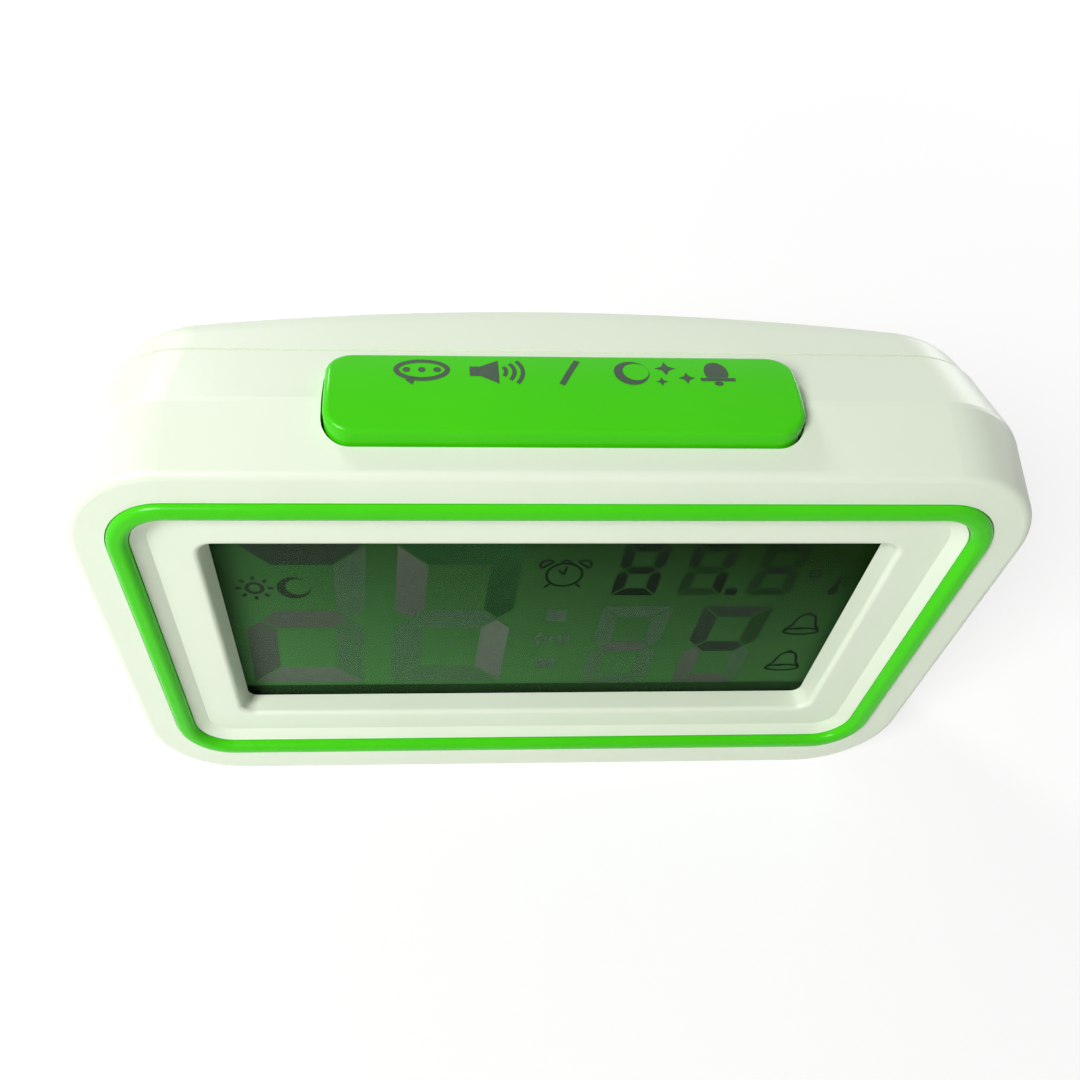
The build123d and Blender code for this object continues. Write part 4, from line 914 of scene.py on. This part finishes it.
class CLOCK_OT_back_signs(bpy.types.Operator):
    """Print a sign over each rear key, and raise an arrow on the battery door"""

    bl_idname = "clock.back_signs"
    bl_label = "Back signs"

    # Height of the signs over their keys
    rise = 7.0 * MM
    line = 0.35 * MM
    thickness = 0.04 * MM
    sign_width = 3.2 * MM
    bell = {"mouth": -0.5, "dome": (0.1, 2.4, 3.0), "rim": (-0.75, 3.2, 0.5), "clapper": (-1.25, 0.9, 0.5)}
    # The arrow stands half its thickness out of the door, above the door's middle.
    arrow_width = 5.4 * MM
    arrow_thickness = 1.2 * MM
    arrow_edge = 0.15 * MM
    arrow_rise = 5.0 * MM

    def clock_face(self):
        """A round dial with two hands."""
        centre = spot(0, 0)
        pieces = [outline(dot(centre, self.sign_width), self.line)]
        for tip in (spot(0, 1.1), spot(0.8, -0.4)):
            pieces.append(stroke(centre, tip, self.line))
        return pieces

    def triangle(self, way):
        """A triangle that points up for a way of 1, and down for -1."""
        turn = math.radians(90 - 90 * way)
        return [dot(spot(0, 0), self.sign_width, TRIANGLE, turn)]

    def door_arrow(self):
        """A raised triangle with softened edges."""
        arrow = film([dot(spot(0, 0), self.arrow_width, TRIANGLE)], self.arrow_thickness, 0.0)
        applied(arrow, "BEVEL", width=self.arrow_edge, segments=2)
        return arrow

    def execute(self, context):
        inside = FACE.inverted()
        # Pad print on the rear shell: dark green, matt
        ink = printed_ink("Ink_pad_printed_back", context.scene.clock.finish.print_ink, IN_AIR)
        drawings = {
            "mode_key": self.clock_face(),
            "set_key": plain_bell(0, **self.bell),
            "up_key": self.triangle(1),
            "down_key": self.triangle(-1),
        }
        for key, pieces in drawings.items():
            at = inside @ middle(key)
            depth = BACK_DEPTH - BOW_RADIUS + math.sqrt(BOW_RADIUS**2 - at.x**2)
            turn = Matrix.Rotation(-math.asin(at.x / BOW_RADIUS), 4, "Z")
            place = FACE @ Matrix.Translation((at.x, depth, at.z + self.rise)) @ turn @ TO_BACK
            settled(film(pieces, self.thickness, 0.0), key + "_sign", place, ink, "case")

        low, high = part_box("battery_door")
        outside = inside @ Vector((0, high.y, (low.z + high.z) / 2))
        place = FACE @ Matrix.Translation((0, DOOR_DEPTH, outside.z + self.arrow_rise)) @ TO_BACK
        satin = frame["nodes"]["battery_door"].material_slots[0].material
        arrow = settled(self.door_arrow(), "door_arrow", place, satin, "battery_door")
        return {"FINISHED"}


class CLOCK_OT_electronics(bpy.types.Operator):
    """Finish the boards, what sits on them, and the speaker"""

    bl_idname = "clock.electronics"
    bl_label = "Electronics"

    stripe_shift = 1.6 * MM

    def execute(self, context):
        # Glass-epoxy laminate under solder mask: green, with paler copper tracks 1.2 mm apart
        board = tracked_board("Laminate_solder_mask", tile=10.0, relief=0.03)
        dress(board, "main_board", "key_board")
        # Epoxy poured over a chip: black, glossy, slightly wavy
        sealed = ("chip_globs", "thermistor")
        mould("Epoxy_poured", "#191a1b", "#232425", *sealed, grain=1.8, relief=0.03, rough=0.22)
        # Nickel plate on drawn steel: bright, faintly yellow
        can = plated_metal("Steel_nickel_plated", linear("#c7c4ba"), rough=0.28, streak=0.25)
        dress(can, "quartz_can")
        # Printed sleeve of a capacitor: dark blue with its pale stripe
        stripe = middle("capacitor").x + self.stripe_shift
        sleeve = two_tone("Sleeve_printed", linear("#1f2c4d"), linear("#aab2bd"), "X", stripe, rough=0.35)
        dress(sleeve, "capacitor")
        # Nylon: black, fine grained
        switches = ("snooze_switch", "key_switches")
        mould("Nylon_moulded", "#222325", "#2a2b2e", *switches, grain=0.4, relief=0.015, rough=0.45)
        # Acetal: charcoal, waxy
        slides = ("mode_plunger", "set_plunger", "up_plunger", "down_plunger", "snooze_plunger")
        mould("Acetal_moulded", "#34363a", "#2d2f32", *slides, grain=0.8, relief=0.008, rough=0.36)
        # Stamped steel with black enamel: satin, slightly rippled
        mould("Steel_enamelled", "#2a2c2e", "#303234", "speaker_frame", grain=1.1, relief=0.01, rough=0.36)
        # Pressed paper pulp: charcoal, fibrous and dull
        mould("Paper_pulp_pressed", "#2d2b29", "#3a3734", "speaker_cone", grain=0.7, relief=0.06, rough=0.85)
        # Sintered ferrite: dark grey, sandy
        mould("Ferrite_sintered", "#3b3c3e", "#46474a", "speaker_magnet", grain=0.35, relief=0.03, rough=0.62)
        return {"FINISHED"}


class CLOCK_OT_power(bpy.types.Operator):
    """Finish the cells, the contacts and the wires"""

    bl_idname = "clock.power"
    bl_label = "Power"

    # Distance from a cell's middle to its band, as a share of its length
    band_share = 0.2

    def execute(self, context):
        dark, band = linear("#26302b"), linear("#b98a3e")
        for node, way in (("battery_cell_upper", 1), ("battery_cell_lower", -1)):
            low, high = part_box(node)
            border = middle(node).x + way * (high.x - low.x) * self.band_share
            near, far = (dark, band) if way > 0 else (band, dark)
            # Printed sleeve shrunk on a steel can: dark green, with a gold band at the positive end
            dress(two_tone("Sleeve_shrunk_" + node, near, far, "X", border, rough=0.25), node)
        # Nickel plate on spring steel: bright, with fine streaks
        nickel = plated_metal("Spring_steel_nickel_plated", linear("#cfccc3"), rough=0.24, streak=0.2)
        contacts = ("contact_bridge", "contact_positive", "contact_negative")
        dress(nickel, "contact_spring_upper", "contact_spring_lower", *contacts)
        # PVC insulation: a red and a black wire
        red, black = linear("#a8201c"), linear("#1d1d1f")
        pair = two_tone("PVC_red_and_black", black, red, "Z", middle("battery_leads").z, rough=0.42)
        dress(pair, "battery_leads")
        # PVC insulation: grey, faintly clouded
        wires = ("speaker_leads", "key_leads")
        mould("PVC_grey", "#8b8f92", "#7d8184", *wires, grain=1.5, relief=0.01, rough=0.45)
        return {"FINISHED"}


class CLOCK_OT_fittings(bpy.types.Operator):
    """Finish the screws and the feet"""

    bl_idname = "clock.fittings"
    bl_label = "Screws and feet"

    def execute(self, context):
        # Zinc plate on cold-headed steel: bluish, slightly dull
        zinc = plated_metal("Steel_zinc_plated", linear("#b9bdc1"), rough=0.34, streak=0.3)
        dress(zinc, "case_screws", "board_screws", "key_board_screws")
        # Moulded rubber: dark grey, dull, dusty
        feet = ("foot_front_left", "foot_front_right", "foot_rear_left", "foot_rear_right")
        mould("Rubber_moulded", "#3a3c3b", "#454746", *feet, grain=0.5, relief=0.03, rough=0.78)
        return {"FINISHED"}


class CLOCK_OT_stage(bpy.types.Operator):
    """Set the floor, the lamps, the sky and the camera"""

    bl_idname = "clock.stage"
    bl_label = "Stage"

    floor_width = 6
    # The floor's own white, and how its share grows with the distance from the clock
    glow = 1.15
    fade = {"From Min": 0.1, "From Max": 0.5, "To Min": 0.6, "To Max": 0.87}
    # Name, place and width of each lamp, and the setting that holds its power
    lamps = (
        ("key_lamp", (-0.34, -0.31, 0.47), 0.26, "key_power"),
        ("back_lamp", (-0.24, 0.34, 0.32), 0.12, "back_power"),
        ("fill_lamp", (0.44, 0.34, 0.05), 0.3, "fill_power"),
    )
    sensor_width = 36
    clip_start = 0.01

    def paper(self, colour):
        """Matt white paper: plain white far from the clock, shadowed near it."""
        material, place = blank_material("Paper_matt_white")
        away = add_node(material, "ShaderNodeVectorMath", {0: place}, operation="LENGTH").outputs["Value"]
        fade = add_node(material, "ShaderNodeMapRange", {"Value": away, **self.fade}).outputs["Result"]
        factors = {0: seen_rays(material), 1: fade}
        share = add_node(material, "ShaderNodeMath", factors, operation="MULTIPLY").outputs[0]
        matt = add_node(material, "ShaderNodeBsdfDiffuse", {"Color": colour}).outputs["BSDF"]
        white = add_node(material, "ShaderNodeEmission", {"Strength": self.glow}).outputs["Emission"]
        mixed = add_node(material, "ShaderNodeMixShader", {0: share, 1: matt, 2: white}).outputs["Shader"]
        add_node(material, "ShaderNodeOutputMaterial", {"Surface": mixed})
        return material

    def sky(self, strength):
        """Even light all round, which the eye sees as plain white."""
        world = bpy.data.worlds.new("sky")
        world.use_nodes = True
        world.node_tree.nodes.clear()
        ends = {"To Min": strength, "To Max": 1.0}
        level = add_node(world, "ShaderNodeMapRange", {"Value": seen_rays(world), **ends}).outputs["Result"]
        light = add_node(world, "ShaderNodeBackground", {"Color": (1, 1, 1, 1), "Strength": level})
        add_node(world, "ShaderNodeOutputWorld", {"Surface": light.outputs["Background"]})
        return world

    def add_lamps(self, stage):
        """Round area lamps that face the clock."""
        aim = middle("front_shell")
        for name, place, width, setting in self.lamps:
            bpy.ops.object.light_add(type="AREA", location=place)
            lamp = bpy.context.object
            lamp.name = name
            lamp.data.shape = "DISK"
            lamp.data.size = width
            lamp.data.energy = getattr(stage, setting)
            lamp.rotation_euler = (aim - Vector(place)).to_track_quat("-Z", "Y").to_euler()

    def add_camera(self, stage):
        """The camera that was fitted to the photo."""
        bpy.ops.object.camera_add(location=stage.camera_place)
        camera = bpy.context.object
        camera.rotation_mode = "ZYX"
        camera.rotation_euler = stage.camera_turn
        camera.data.sensor_width = self.sensor_width
        camera.data.lens = stage.focal_length
        camera.data.shift_x = stage.shift
        camera.data.clip_start = self.clip_start
        return camera

    def execute(self, context):
        stage = context.scene.clock.stage
        clear_selection()
        bpy.ops.mesh.primitive_plane_add(size=self.floor_width)
        floor = context.object
        floor.name = "floor"
        floor.data.materials.append(self.paper(stage.floor))
        context.scene.world = self.sky(stage.sky)
        self.add_lamps(stage)
        context.scene.camera = self.add_camera(stage)
        context.scene.view_settings.view_transform = "Standard"
        return {"FINISHED"}


class CLOCK_PT_panel(bpy.types.Panel):
    """List of the clock's steps and settings"""

    bl_idname = "CLOCK_PT_panel"
    bl_label = "Talking Alarm Clock"
    bl_space_type = "VIEW_3D"
    bl_region_type = "UI"
    bl_category = "Clock"

    def draw(self, context):
        settings = context.scene.clock
        for group in (settings.finish, settings.figures, settings.stage):
            box = self.layout.box()
            for name in group.__annotations__:
                box.prop(group, name)
        for step in STEPS:
            self.layout.operator(step.bl_idname)


STEPS = (
    CLOCK_OT_case,
    CLOCK_OT_trim,
    CLOCK_OT_display,
    CLOCK_OT_figures,
    CLOCK_OT_display_signs,
    CLOCK_OT_bar_signs,
    CLOCK_OT_back_signs,
    CLOCK_OT_electronics,
    CLOCK_OT_power,
    CLOCK_OT_fittings,
    CLOCK_OT_stage,
)
CLASSES = (FinishSettings, FigureSettings, StageSettings, ClockSettings, *STEPS, CLOCK_PT_panel)


def register():
    """Make the settings, the steps and the panel known to Blender."""
    for entry in CLASSES:
        bpy.utils.register_class(entry)
    bpy.types.Scene.clock = PointerProperty(type=ClockSettings)


def unregister():
    """Take them all out again."""
    del bpy.types.Scene.clock
    for entry in reversed(CLASSES):
        bpy.utils.unregister_class(entry)


def main():
    """Run all steps in order."""
    register()
    bpy.ops.clock.case()
    bpy.ops.clock.trim()
    bpy.ops.clock.display()
    bpy.ops.clock.figures()
    bpy.ops.clock.display_signs()
    bpy.ops.clock.bar_signs()
    bpy.ops.clock.back_signs()
    bpy.ops.clock.electronics()
    bpy.ops.clock.power()
    bpy.ops.clock.fittings()
    bpy.ops.clock.stage()


if __name__ == "__main__":
    main()
